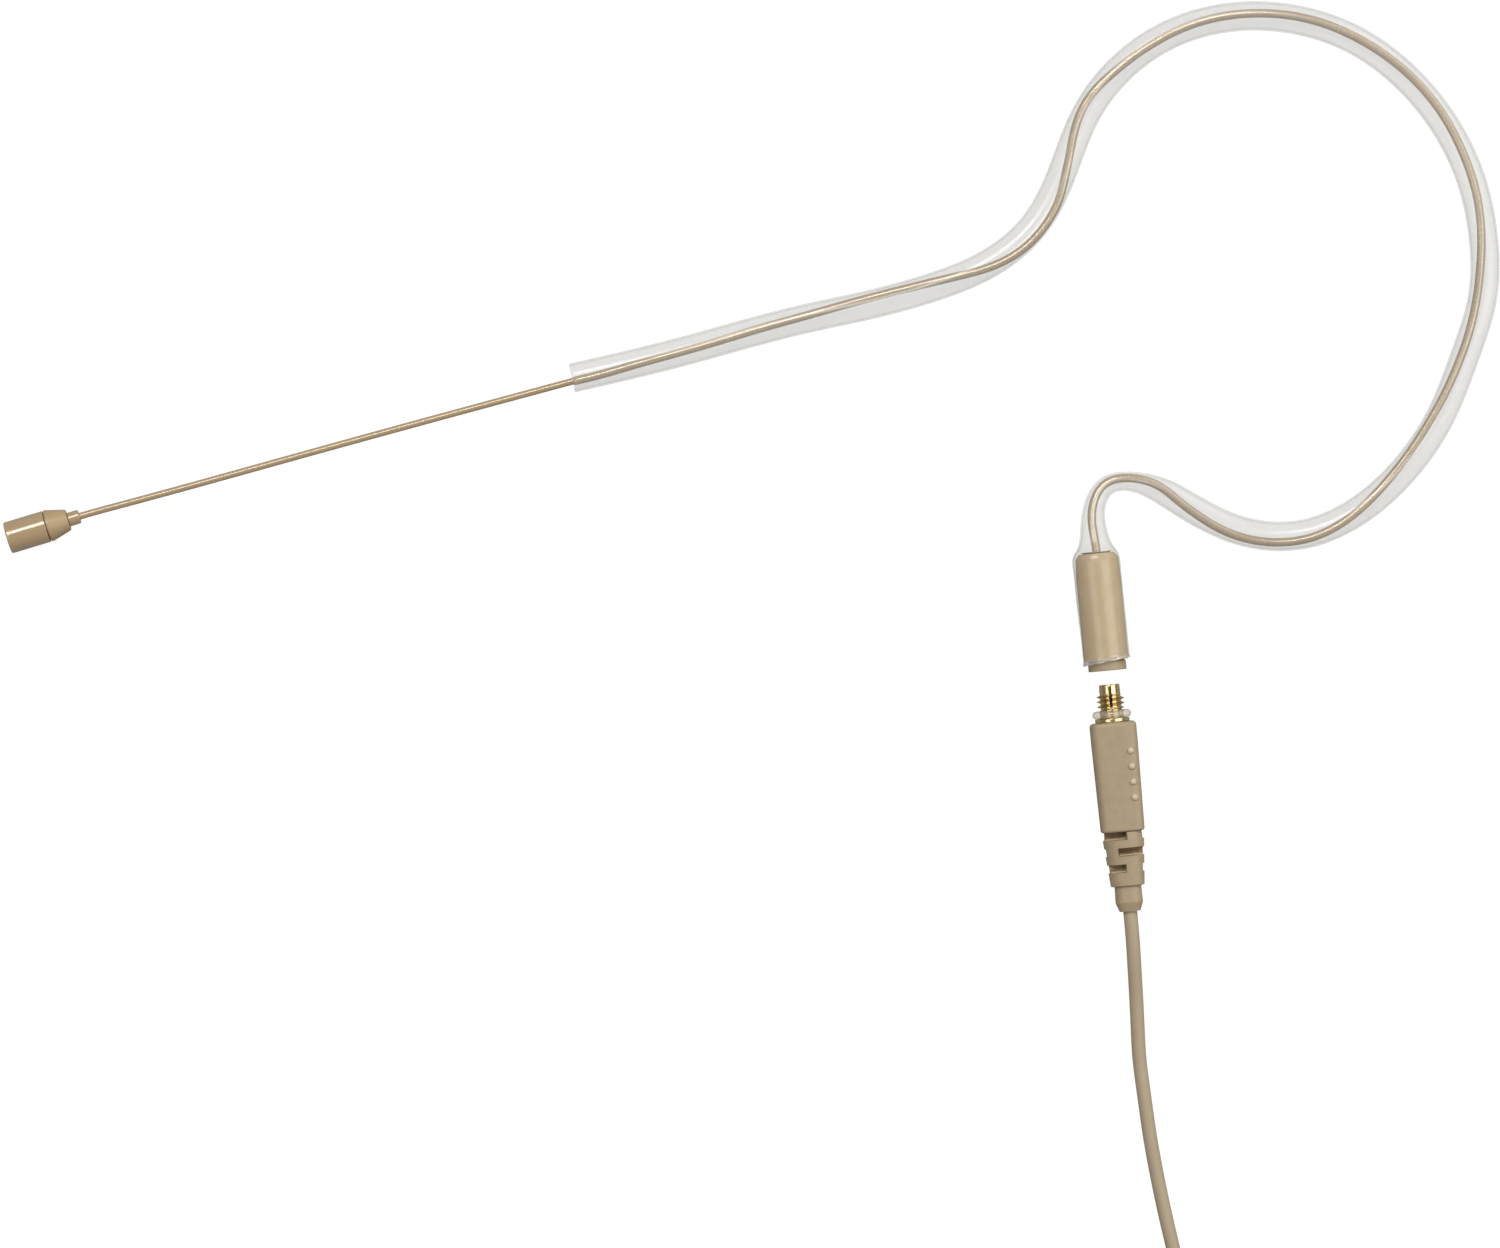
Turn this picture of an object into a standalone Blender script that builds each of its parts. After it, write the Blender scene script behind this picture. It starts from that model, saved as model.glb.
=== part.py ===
"""Single-ear headset microphone with a detachable screw-on cable, lying flat as on a table.

+Z is up, away from the table, and the origin is the middle of the earset and plug on the table.
The earset's boom runs to the left (-X), the ear loop lies on the right, and the cable leaves
downwards (-Y). Numbers are in millimetres, and the helpers below turn them into metres.
"""

from math import cos, pi, radians, sin

import bmesh
import bpy
import numpy as np
from mathutils import Matrix, Vector

MM = 0.001

# Capsule, along its own axis: the seam between cap and rear housing is 0, the mouth is positive
SEAM = (-74.84, -7.40, 1.71)
CAPSULE_WAY = (-0.957, -0.290, 0.0)
CAPSULE_R = 1.71
CAP_LENGTH = 4.39
CONE_LENGTH = 2.36
CONE_END_R = 1.14

# Boom, ear loop and the microphone lead inside them
BOOM_R, BOOM_BORE_R = 0.37, 0.23
EAR_TUBE_R, EAR_TUBE_BORE_R = 0.43, 0.25
LEAD_R = 0.17
SLEEVE_R, SLEEVE_WALL, SLEEVE_GRIP_WALL = 1.57, 0.25, 0.12
SLEEVE_SIDES = 12
LOOP_Z = SLEEVE_R

# Connector pair on one axis. A place along it is its distance below the plug's gold tip,
# so the socket, above the tip, has negative distances
TIP = (38.19, -24.26, 2.55)
SOCKET_WAY = (-0.0932, 0.9956, 0.0)
CROSS_WAY = (0.9956, 0.0932, 0.0)
HOUSING_TOP, HOUSING_END, COLLAR_END = -14.2, -2.60, -1.49
HOUSING_R, COLLAR_R = 2.23, 2.03
SLEEVE_END = -2.66
THREAD_R, THREAD_ROOT_R, THREAD_PITCH = 1.5, 1.2, 0.5  # M3 x 0.5
THREAD_START, THREAD_TURNS = 0.98, 3
BUSH_BORE_R = THREAD_R + 0.05
SEAL_TOP, SEAL_THICK_R, SEAL_RING_R = 2.76, 0.42, 1.65
BODY_TOP, BODY_END, BODY_HALF_WIDTH, BODY_HALF_DEPTH = 4.02, 15.70, 2.465, 2.30
BOOT_END = 24.2
DOT_R, DOT_GAP, DOT_TOP, DOT_SIDE = 0.36, 1.64, 6.95, 1.66

# Cable
CORD_R = 0.75
CORD_START = 23.4  # just inside the strain relief
COIL_CENTRE = (35.7, -103.0)
COIL_INNER, COIL_OUTER = 5.25, 12.75  # centres of the innermost and outermost turns
COIL_ROWS, COIL_ROW_GAP = 4, 1.56
TIE_THICK, TIE_WIDTH, TIE_ANGLES = 0.25, 3.5, (-25, 155)
COIL_LIFT = TIE_THICK + 0.10
COIL_SKIN = CORD_R + 0.05

# Far plug, lying left of the coil with its nose to the left. Places run back from the nose
FAR_NOSE = (-57.0, -116.5, 4.92)
FAR_NOSE_R, FAR_BODY_R, FAR_BORE_R = 4.2, 4.9, 3.6
FAR_STEP, FAR_SHELL_END, FAR_NUT_END, FAR_RELIEF_END = 8.0, 24.0, 29.0, 46.0
FAR_INSERT_R, FAR_CONTACT_R, FAR_CONTACT_RING = 3.4, 0.6, 1.9
LATCH_SIZE = (2.4, 1.4, 4.6)
LATCH_PLACE = 12.5

# The clear sleeve's middle line, from the boom's side round the ear loop to the socket
SLEEVE_ROUTE = [
    (-18.9, 8.4), (-12.4, 9.9), (-6.1, 11.5), (0.2, 13.25), (6.6, 14.85), (13.0, 16.25),
    (19.3, 18.0), (25.3, 20.5), (30.3, 24.7), (33.3, 30.4), (35.8, 36.5), (39.8, 41.65),
    (45.3, 45.25), (51.6, 46.85), (58.1, 46.55), (64.3, 44.45), (69.6, 40.65), (73.8, 35.65),
    (76.7, 29.8), (78.1, 23.4), (78.0, 16.85), (76.1, 10.6), (73.65, 4.5), (70.1, -0.9),
    (65.3, -5.4), (59.4, -8.15), (52.9, -8.05), (46.9, -5.4), (41.2, -2.75), (38.0, -3.1),
    (36.55, -6.0),
]
# The sleeve's outer radius by distance back from its lower end, where it grips the housing
SLEEVE_GIRTH = [
    (0.0, 2.45), (10.9, 2.52), (11.5, 2.24), (12.1, 1.85), (12.9, 1.57), (14.5, 1.36),
    (18.2, 1.06), (21.5, 1.03), (25.3, 1.44), (28.5, SLEEVE_R),
]
# How far the ear tube lies to the right of that middle line, by distance from the boom's side
EAR_TUBE_WANDER = [
    (0.0, 0.43), (4.0, 0.12), (12.0, -0.03), (20.0, -0.18), (26.0, -0.48), (32.0, -0.76),
    (37.0, -0.72), (41.5, -0.28), (46.0, 0.50), (50.5, 0.80), (55.0, 0.60), (60.0, 0.0),
    (66.0, -0.52), (73.0, -0.15), (80.0, -0.13), (90.0, -0.42), (105.0, -0.46), (115.0, -0.27),
    (122.0, 0.22), (132.0, 0.66), (142.0, 0.79), (148.0, 0.74), (152.5, 0.20), (157.0, -0.28),
    (163.0, -0.50), (169.0, -0.52), (173.0, -0.20), (176.5, 0.22), (183.0, 0.08), (189.0, 0.0),
]
# The cable where it isn't coiled
LEAD_ROUTE = [
    (40.7, -51.2, 2.48), (40.9, -54.0, 2.10), (41.1, -57.0, 1.50), (41.3, -60.5, 0.98),
    (41.5, -64.0, 0.80), (41.95, -67.6, 0.80), (42.6, -72.2, 0.80), (43.45, -76.9, 0.80),
    (44.45, -81.6, 0.80), (45.6, -86.3, 0.82), (46.75, -90.5, 0.92), (47.7, -94.6, 1.05),
]
TAIL_ROUTE = [
    (27.5, -116.4, 3.80), (23.5, -116.7, 2.00), (19.5, -116.9, 0.95), (15.0, -117.0, 0.80),
    (10.0, -116.9, 0.80), (5.0, -116.7, 0.82), (1.5, -116.6, 1.30), (-2.0, -116.5, 2.60),
    (-5.5, -116.5, 4.10), (-8.5, -116.5, 4.82),
]

# Looks: colour, roughness, metallic, alpha
BEIGE_GLOSS = ("beige_lacquer", (0.48, 0.36, 0.23), 0.28, 0.0, 1.0)
BEIGE_BODY = ("beige_plastic", (0.40, 0.31, 0.20), 0.50, 0.0, 1.0)
BEIGE_CORD = ("beige_jacket", (0.42, 0.33, 0.21), 0.55, 0.0, 1.0)
CLEAR = ("clear_silicone", (0.88, 0.90, 0.88), 0.12, 0.0, 0.35)
CLEAR_SEAL = ("seal_silicone", (0.86, 0.80, 0.66), 0.12, 0.0, 0.60)
GOLD = ("gold_plate", (0.90, 0.64, 0.26), 0.22, 1.0, 1.0)
STEEL = ("bright_steel", (0.60, 0.60, 0.60), 0.25, 1.0, 1.0)
NICKEL = ("nickel_plate", (0.52, 0.50, 0.46), 0.30, 1.0, 1.0)
BOARD = ("circuit_board", (0.03, 0.16, 0.06), 0.45, 0.0, 1.0)
WHITE = ("white_insulator", (0.75, 0.74, 0.70), 0.45, 0.0, 1.0)
BLACK = ("black_plastic", (0.02, 0.02, 0.02), 0.45, 0.0, 1.0)
RUBBER = ("black_rubber", (0.015, 0.015, 0.015), 0.65, 0.0, 1.0)
STRAP = ("black_strap", (0.03, 0.03, 0.03), 0.90, 0.0, 1.0)


def clear_scene():
    for thing in list(bpy.data.objects):
        bpy.data.objects.remove(thing, do_unlink=True)


def material(look):
    name, colour, roughness, metallic, alpha = look
    found = bpy.data.materials.get(name)
    if found:
        return found
    made = bpy.data.materials.new(name)
    made.use_nodes = True
    made.diffuse_color = (*colour, alpha)
    shader = made.node_tree.nodes["Principled BSDF"]
    shader.inputs["Base Color"].default_value = (*colour, 1.0)
    shader.inputs["Roughness"].default_value = roughness
    shader.inputs["Metallic"].default_value = metallic
    shader.inputs["Alpha"].default_value = alpha
    return made


def local_frame(origin, up, right):
    """A frame at origin (mm) with local Z along up and local X towards right."""
    z = Vector(up).normalized()
    x = Vector(right)
    x = (x - x.dot(z) * z).normalized()
    turn = Matrix((x, z.cross(x), z)).transposed().to_4x4()
    return Matrix.Translation(Vector(origin) * MM) @ turn


TABLE_FRAME = Matrix.Identity(4)
CAPSULE_FRAME = local_frame(SEAM, CAPSULE_WAY, (0, 0, 1))
PLUG_FRAME = local_frame(TIP, SOCKET_WAY, CROSS_WAY)
FAR_FRAME = local_frame(FAR_NOSE, (-1, 0, 0), (0, 1, 0))


def in_table(frame, point):
    """A local point (mm) of a frame as a table point (mm)."""
    return tuple(frame @ (Vector(point) * MM) / MM)


# ---------------------------------------------------------------- modelling helpers


def put(name, form, frame, look, smooth=True):
    """Turns a bmesh into a named object at a frame, with its faces pointing out."""
    bmesh.ops.recalc_face_normals(form, faces=form.faces)
    mesh = bpy.data.meshes.new(name)
    form.to_mesh(mesh)
    form.free()
    if smooth:
        mesh.shade_smooth()
        mesh.set_sharp_from_angle(angle=radians(35))
    mesh.materials.append(material(look))
    thing = bpy.data.objects.new(name, mesh)
    bpy.context.collection.objects.link(thing)
    thing.matrix_world = frame
    return thing


def turned(name, outline, frame, look, sides=20):
    """A turned piece about local Z. Its outline is (radius, height) pairs, which close on
    themselves unless they start and end on the axis."""
    form = bmesh.new()
    corners = [form.verts.new((radius * MM, 0, height * MM)) for radius, height in outline]
    followers = corners[1:] if outline[0][0] == 0 else corners[1:] + corners[:1]
    edges = [form.edges.new(pair) for pair in zip(corners, followers)]
    bmesh.ops.spin(
        form, geom=corners + edges, cent=(0, 0, 0), axis=(0, 0, 1), dvec=(0, 0, 0),
        angle=2 * pi, steps=sides,
    )
    bmesh.ops.remove_doubles(form, verts=form.verts, dist=1e-7)
    return put(name, form, frame, look)


def washer(name, inner, outer, low, high, frame, look, sides=20):
    outline = [(inner, low), (outer, low), (outer, high), (inner, high)]
    return turned(name, outline, frame, look, sides)


def rod(name, radius, low, high, frame, look, sides=16):
    return turned(name, [(0, low), (radius, low), (radius, high), (0, high)], frame, look, sides)


def add_block(form, centre, size):
    """Adds a block to a bmesh, its centre and size in mm."""
    made = bmesh.ops.create_cube(form, size=1.0)
    bmesh.ops.scale(form, vec=Vector(size) * MM, verts=made["verts"])
    bmesh.ops.translate(form, vec=Vector(centre) * MM, verts=made["verts"])
    return made["verts"]


def block(name, centre, size, frame, look, round_off=0.0):
    form = bmesh.new()
    add_block(form, centre, size)
    if round_off:
        bmesh.ops.bevel(
            form, geom=form.edges[:], offset=round_off * MM, segments=2, affect="EDGES",
            profile=0.5,
        )
    return put(name, form, frame, look, smooth=bool(round_off))


def ring_faces(form, first, second):
    """Joins two rings of the same number of corners with faces."""
    count = len(first)
    for i in range(count):
        j = (i + 1) % count
        form.faces.new((first[i], first[j], second[j], second[i]))


def skinned(name, rings, frame, look, bores=None):
    """A body through rings of points (mm), with flat ends or, with bores, open right through."""
    form = bmesh.new()
    outer = [[form.verts.new(Vector(p) * MM) for p in ring] for ring in rings]
    for first, second in zip(outer, outer[1:]):
        ring_faces(form, first, second)
    if bores is None:
        form.faces.new(outer[0])
        form.faces.new(outer[-1])
        return put(name, form, frame, look)
    inner = [[form.verts.new(Vector(p) * MM) for p in ring] for ring in bores]
    for first, second in zip(inner, inner[1:]):
        ring_faces(form, second, first)
    ring_faces(form, inner[0], outer[0])
    ring_faces(form, outer[-1], inner[-1])
    return put(name, form, frame, look)


def cut(thing, cutter, joined=False):
    """Cuts the cutter from the thing, or joins it on, and hides the cutter."""
    step = thing.modifiers.new("join" if joined else "cut", "BOOLEAN")
    step.operation = "UNION" if joined else "DIFFERENCE"
    step.object = cutter
    cutter.hide_render = True
    cutter.display_type = "WIRE"


# ---------------------------------------------------------------- curves


class Route:
    """A natural cubic spline through points, read by the distance along it."""

    def __init__(self, points):
        self.points = np.array(points, float)
        gaps = np.linalg.norm(np.diff(self.points, axis=0), axis=1)
        self.knots = np.concatenate([[0.0], np.cumsum(gaps)])
        count = len(points)
        system = np.eye(count)
        pull = np.zeros_like(self.points)
        slopes = np.diff(self.points, axis=0) / gaps[:, None]
        for i in range(1, count - 1):
            system[i, i - 1 : i + 2] = gaps[i - 1], 2 * (gaps[i - 1] + gaps[i]), gaps[i]
            pull[i] = 6 * (slopes[i] - slopes[i - 1])
        self.bends = np.linalg.solve(system, pull)
        fine = np.linspace(0, self.knots[-1], 4000)
        walked = np.linalg.norm(np.diff(self.at_knot(fine), axis=0), axis=1)
        self.walked = np.concatenate([[0.0], np.cumsum(walked)])
        self.fine = fine
        self.length = self.walked[-1]

    def at_knot(self, where):
        i = np.clip(np.searchsorted(self.knots, where, "right") - 1, 0, len(self.points) - 2)
        gap = (self.knots[i + 1] - self.knots[i])[:, None]
        a = (self.knots[i + 1] - where)[:, None] / gap
        b = 1 - a
        bow = ((a**3 - a) * self.bends[i] + (b**3 - b) * self.bends[i + 1]) * gap**2 / 6
        return a * self.points[i] + b * self.points[i + 1] + bow

    def at(self, distances):
        return self.at_knot(np.interp(distances, self.walked, self.fine))

    def places(self):
        """The distances along the route of its own points."""
        return np.interp(self.knots, self.fine, self.walked)

    def ways(self, distances):
        """Unit directions along the route."""
        step = 0.02
        ahead = self.at(np.minimum(distances + step, self.length))
        behind = self.at(np.maximum(distances - step, 0))
        ways = ahead - behind
        return ways / np.linalg.norm(ways, axis=1)[:, None]

    def stations(self, turn, longest):
        """Distances along the route, closer together where it bends."""
        fine = np.linspace(0, self.length, 2000)
        ways = self.ways(fine)
        bend = np.arccos(np.clip((ways[1:] * ways[:-1]).sum(axis=1), -1, 1))
        cost = bend / radians(turn) + np.diff(fine) / longest
        total = np.concatenate([[0.0], np.cumsum(cost)])
        count = int(np.ceil(total[-1]))
        return np.interp(np.linspace(0, total[-1], count + 1), total, fine)


def eased(where, table):
    """Reads a table of (place, value) pairs, smoothly between its places."""
    places, values = np.array(table).T
    i = np.clip(np.searchsorted(places, where, "right") - 1, 0, len(places) - 2)
    part = np.clip((where - places[i]) / (places[i + 1] - places[i]), 0, 1)
    return values[i] + (values[i + 1] - values[i]) * part**2 * (3 - 2 * part)


def sideways(ways):
    """Level unit directions to the right of the given ways."""
    right = np.stack([ways[:, 1], -ways[:, 0], np.zeros(len(ways))], axis=1)
    return right / np.linalg.norm(right, axis=1)[:, None]


def rings_along(points, ways, radii, sides):
    """Round rings of points, one across each place of a route."""
    right = sideways(ways)
    over = np.cross(right, ways)
    rings = []
    for point, x, y, radius in zip(points, right, over, np.broadcast_to(radii, len(points))):
        angles = [2 * pi * i / sides for i in range(sides)]
        rings.append([point + radius * (cos(a) * x + sin(a) * y) for a in angles])
    return rings


def piped(name, points, ways, radius, look, bore=None, sides=8):
    """A round rod or, with a bore, a tube along a row of points on the table."""
    bores = None if bore is None else rings_along(points, ways, bore, sides)
    return skinned(name, rings_along(points, ways, radius, sides), TABLE_FRAME, look, bores)


def corded(name, route, look):
    """A cord as a curve object, its points read from a smooth route."""
    data = bpy.data.curves.new(name, "CURVE")
    data.dimensions = "3D"
    data.bevel_depth = CORD_R * MM
    data.bevel_resolution = 2
    data.use_fill_caps = True
    line = data.splines.new("POLY")
    count = int(route.length / (3.0 * CORD_R)) + 1
    points = route.at(np.linspace(0, route.length, count))
    line.points.add(count - 1)
    for spot, point in zip(line.points, points):
        spot.co = (*(point * MM), 1.0)
    data.materials.append(material(look))
    thing = bpy.data.objects.new(name, data)
    bpy.context.collection.objects.link(thing)
    return thing


# ---------------------------------------------------------------- capsule


def make_capsule_cap():
    lip = 1.30
    wall = CAPSULE_R - 0.18
    seat = CAP_LENGTH - 0.24
    outline = [
        (wall, 0.06), (CAPSULE_R, 0.06), (CAPSULE_R, CAP_LENGTH - 0.10),
        (CAPSULE_R - 0.08, CAP_LENGTH), (lip, CAP_LENGTH), (lip, seat), (wall, seat),
    ]
    turned("capsule_cap", outline, CAPSULE_FRAME, BEIGE_GLOSS, sides=28)
    grid = rod("cap_mesh", wall - 0.04, seat - 0.19, seat - 0.04, CAPSULE_FRAME, STEEL, sides=20)
    holes = bmesh.new()
    centres = [(0, 0)] + [(0.8 * cos(radians(a)), 0.8 * sin(radians(a))) for a in range(0, 360, 60)]
    for x, y in centres:
        bmesh.ops.create_cone(
            holes, segments=8, radius1=0.22 * MM, radius2=0.22 * MM, depth=1.0 * MM, cap_ends=True,
            matrix=Matrix.Translation(Vector((x, y, seat - 0.1)) * MM),
        )
    cut(grid, put("cap_mesh_holes", holes, CAPSULE_FRAME, STEEL, smooth=False))


def make_capsule_housing():
    spigot, cavity, hole = 1.49, 1.34, 0.62
    outline = [
        (CAPSULE_R, 0.0), (CONE_END_R, -CONE_LENGTH), (hole, -CONE_LENGTH), (hole, -1.70),
        (0.85, -1.60), (cavity, -0.60), (cavity, 1.20), (spigot, 1.20), (spigot, 0.0),
    ]
    turned("capsule_housing", outline, CAPSULE_FRAME, BEIGE_GLOSS, sides=28)


def make_element():
    """The electret element: can, diaphragm, backplate, spacer, board and its transistor."""
    can_r, can_bore, front, back = 1.29, 1.16, 3.50, -0.50
    outline = [
        (0.30, front), (can_r, front), (can_r, back), (can_bore, back), (can_bore, front - 0.2),
        (0.30, front - 0.2),
    ]
    turned("element_can", outline, CAPSULE_FRAME, NICKEL)
    disc_r = can_bore - 0.05
    outline = [(0, 2.94), (disc_r, 2.94), (disc_r, 3.24), (0.95, 3.24), (0.95, 3.0), (0, 3.0)]
    turned("element_diaphragm", outline, CAPSULE_FRAME, GOLD, sides=16)
    rod("element_backplate", 1.0, 2.60, 2.88, CAPSULE_FRAME, NICKEL)
    washer("element_spacer", 0.92, disc_r, -0.12, 2.54, CAPSULE_FRAME, WHITE, sides=16)
    rod("element_board", disc_r, -0.44, -0.20, CAPSULE_FRAME, BOARD)
    block("element_transistor", (0.1, 0.1, 0.22), (0.9, 0.6, 0.7), CAPSULE_FRAME, BLACK)


def make_boom():
    """The boom's ferrule and hollow boom, straight from the capsule to the sleeve."""
    hole = BOOM_R + 0.06
    outline = [
        (hole, -1.95), (0.58, -1.95), (0.58, -2.40), (0.75, -2.40), (0.75, -3.52), (0.68, -3.60),
        (hole, -3.60),
    ]
    turned("boom_ferrule", outline, CAPSULE_FRAME, BEIGE_GLOSS)


def sleeve_route():
    """The sleeve's middle line, which climbs from the table to the socket's own axis."""
    loop = [(x, y, LOOP_Z) for x, y in SLEEVE_ROUTE[:-4]]
    climb = [1.62, 1.85, 2.05, 2.35]
    loop += [(x, y, z) for (x, y), z in zip(SLEEVE_ROUTE[-4:], climb)]
    grip = [in_table(PLUG_FRAME, (0, 0, -u)) for u in (-14.6, -12.4, -10, -7.5, -5, SLEEVE_END)]
    return Route(loop + grip)


def make_sleeve(route):
    """The clear tube, which is stretched thin where it grips the housing."""
    changes = [route.length - place for place, _ in SLEEVE_GIRTH]
    stations = np.union1d(route.stations(turn=12, longest=9), changes)
    from_end = route.length - stations
    radii = eased(from_end, SLEEVE_GIRTH)
    points, ways = route.at(stations), route.ways(stations)
    bores = radii - np.where(from_end < 12.5, SLEEVE_GRIP_WALL, SLEEVE_WALL)
    skinned(
        "ear_sleeve", rings_along(points, ways, radii, SLEEVE_SIDES), TABLE_FRAME, CLEAR,
        rings_along(points, ways, bores, SLEEVE_SIDES),
    )


def make_tubes(sleeve):
    """The boom and the ear tube, and the microphone lead inside both."""
    stem = [in_table(CAPSULE_FRAME, (0, 0, z)) for z in (-2.0, -3.6)]
    boom = [(-66.0, -4.87, 1.69), (-50.0, -0.46, 1.65), (-34.0, 3.95, 1.60), (-19.1, 8.02, LOOP_Z)]
    boom = Route(stem + boom)
    stations = boom.stations(turn=2, longest=12)
    boom_line = boom.at(stations)
    piped("boom_tube", boom_line, boom.ways(stations), BOOM_R, BEIGE_GLOSS, BOOM_BORE_R)

    first, last = 0.25, sleeve.length - 9.3
    where = sleeve.stations(turn=12, longest=7)
    where = np.concatenate([[first], where[(where > 1) & (where < last - 1)], [last]])
    right = sideways(sleeve.ways(where))
    line = sleeve.at(where) + right * eased(where, EAR_TUBE_WANDER)[:, None]
    tube = Route(line)
    stations = tube.stations(turn=12, longest=7)
    tube_line = tube.at(stations)
    piped("ear_tube", tube_line, tube.ways(stations), EAR_TUBE_R, BEIGE_GLOSS, EAR_TUBE_BORE_R)
    ends = [in_table(CAPSULE_FRAME, (0, 0, z)) for z in (-0.60, -1.2)]
    solder = [in_table(PLUG_FRAME, (0, 0, z)) for z in (10.8, 9.7)]
    lead = Route(np.concatenate([ends, boom_line, tube_line, solder]))
    piped("mic_lead", lead.points, lead.ways(lead.places()), LEAD_R, BLACK, sides=6)


# ---------------------------------------------------------------- socket


def make_socket():
    bore = HOUSING_R - 0.27
    top, end = -HOUSING_TOP, -HOUSING_END
    hole = EAR_TUBE_R + 0.10
    outline = [
        (hole, top), (1.75, top), (HOUSING_R, top - 0.6), (HOUSING_R, end), (bore, end),
        (bore, top - 1.7), (hole, top - 1.7),
    ]
    turned("socket_housing", outline, PLUG_FRAME, BEIGE_BODY, sides=28)
    bush_r = 1.72
    ring = bush_r + 0.04
    low, rim = -COLLAR_END, end - 0.05
    outline = [
        (ring, low), (COLLAR_R, low), (COLLAR_R, rim), (bore - 0.04, rim), (bore - 0.04, rim + 1.0),
        (ring, rim + 1.0),
    ]
    turned("socket_collar", outline, PLUG_FRAME, BEIGE_BODY, sides=28)
    washer("socket_bush", BUSH_BORE_R, bush_r, low + 0.10, 6.20, PLUG_FRAME, GOLD, sides=24)
    washer("socket_insulator", 0.54, bush_r, 6.26, 8.0, PLUG_FRAME, WHITE)
    outline = [(0, 5.2), (0.30, 5.2), (0.30, 3.2), (0.50, 3.2), (0.50, 9.5), (0, 9.5)]
    turned("socket_contact", outline, PLUG_FRAME, GOLD, sides=16)
    washer("socket_crimp", EAR_TUBE_R + 0.05, 0.85, 11.3, 12.4, PLUG_FRAME, NICKEL, sides=16)


# ---------------------------------------------------------------- plug


def oval(half_width, half_depth, z, count=20, fullness=3.0):
    """A ring of points between an ellipse and a rectangle, the cross-section of the grip."""
    ring = []
    for i in range(count):
        c, s = cos(2 * pi * i / count), sin(2 * pi * i / count)
        x = half_width * abs(c) ** (2 / fullness) * (1 if c >= 0 else -1)
        y = half_depth * abs(s) ** (2 / fullness) * (1 if s >= 0 else -1)
        ring.append((x, y, z))
    return ring


def circle(radius, z, count=20):
    angles = [2 * pi * i / count for i in range(count)]
    return [(radius * cos(a), radius * sin(a), z) for a in angles]


def make_plug_contact():
    """The slotted gold sleeve with its thread, seal groove and flange."""
    bore, tip_r, groove_r, flange_r, shank_r = 0.80, 1.15, 1.20, 1.90, 1.20
    outline = [(bore, 0.0), (tip_r, 0.0), (tip_r, -0.90)]
    for i in range(THREAD_TURNS):
        start = THREAD_START + i * THREAD_PITCH
        outline += [(THREAD_ROOT_R, -start), (THREAD_R, -start - THREAD_PITCH / 2)]
    flange = SEAL_TOP + 2 * SEAL_THICK_R + 0.03
    outline += [
        (THREAD_ROOT_R, -THREAD_START - THREAD_TURNS * THREAD_PITCH), (groove_r, -SEAL_TOP),
        (groove_r, -flange), (flange_r, -flange), (flange_r, -BODY_TOP + 0.04),
        (shank_r, -BODY_TOP + 0.04), (shank_r, -7.6), (bore, -7.6),
    ]
    contact = turned("plug_contact", outline, PLUG_FRAME, GOLD, sides=20)
    for name, size in (("slot_across", (4, 0.28, 4.6)), ("slot_along", (0.28, 4, 4.6))):
        form = bmesh.new()
        add_block(form, (0, 0, 0), size)
        cut(contact, put(f"plug_contact_{name}", form, PLUG_FRAME, GOLD, smooth=False))


def make_plug_inside():
    bore = 0.80
    washer("plug_insulator", 0.29, bore - 0.04, -8.0, -1.20, PLUG_FRAME, WHITE, sides=16)
    outline = [(0, -9.2), (0.25, -9.2), (0.25, -0.30), (0.12, -0.12), (0, -0.12)]
    turned("plug_pin", outline, PLUG_FRAME, GOLD, sides=12)
    washer("plug_crimp", CORD_R + 0.10, 1.40, -13.5, -10.0, PLUG_FRAME, NICKEL)
    rod("cable_core", CORD_R - 0.03, -CORD_START + 0.10, -9.4, PLUG_FRAME, BEIGE_CORD, sides=12)
    form = bmesh.new()
    rings = []
    for i in range(20):
        angle = 2 * pi * i / 20
        ring = []
        for j in range(8):
            out = SEAL_RING_R + SEAL_THICK_R * cos(2 * pi * j / 8)
            height = -SEAL_TOP - SEAL_THICK_R + SEAL_THICK_R * sin(2 * pi * j / 8)
            ring.append(form.verts.new(Vector((out * cos(angle), out * sin(angle), height)) * MM))
        rings.append(ring)
    for first, second in zip(rings, rings[1:] + rings[:1]):
        ring_faces(form, first, second)
    put("plug_seal", form, PLUG_FRAME, CLEAR_SEAL)


def make_plug_body():
    width, depth = BODY_HALF_WIDTH, BODY_HALF_DEPTH
    shape = [
        (BODY_TOP, 0.93), (BODY_TOP + 0.10, 0.97), (BODY_TOP + 0.30, 1.0), (13.0, 1.0),
        (14.6, 0.97), (15.4, 0.94), (BODY_END, 0.90),
    ]
    rings = [oval(width * size, depth * size, -u) for u, size in shape]
    bores = [circle(1.50, -u) for u, _ in shape]
    body = skinned("plug_body", rings, PLUG_FRAME, BEIGE_BODY, bores)
    dots = bmesh.new()
    for i in range(4):
        place = Vector((DOT_SIDE, -1.93, -DOT_TOP - i * DOT_GAP)) * MM
        bmesh.ops.create_icosphere(
            dots, subdivisions=1, radius=DOT_R * MM, matrix=Matrix.Translation(place)
        )
    cut(body, put("plug_body_dots", dots, PLUG_FRAME, BEIGE_BODY), joined=True)


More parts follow.
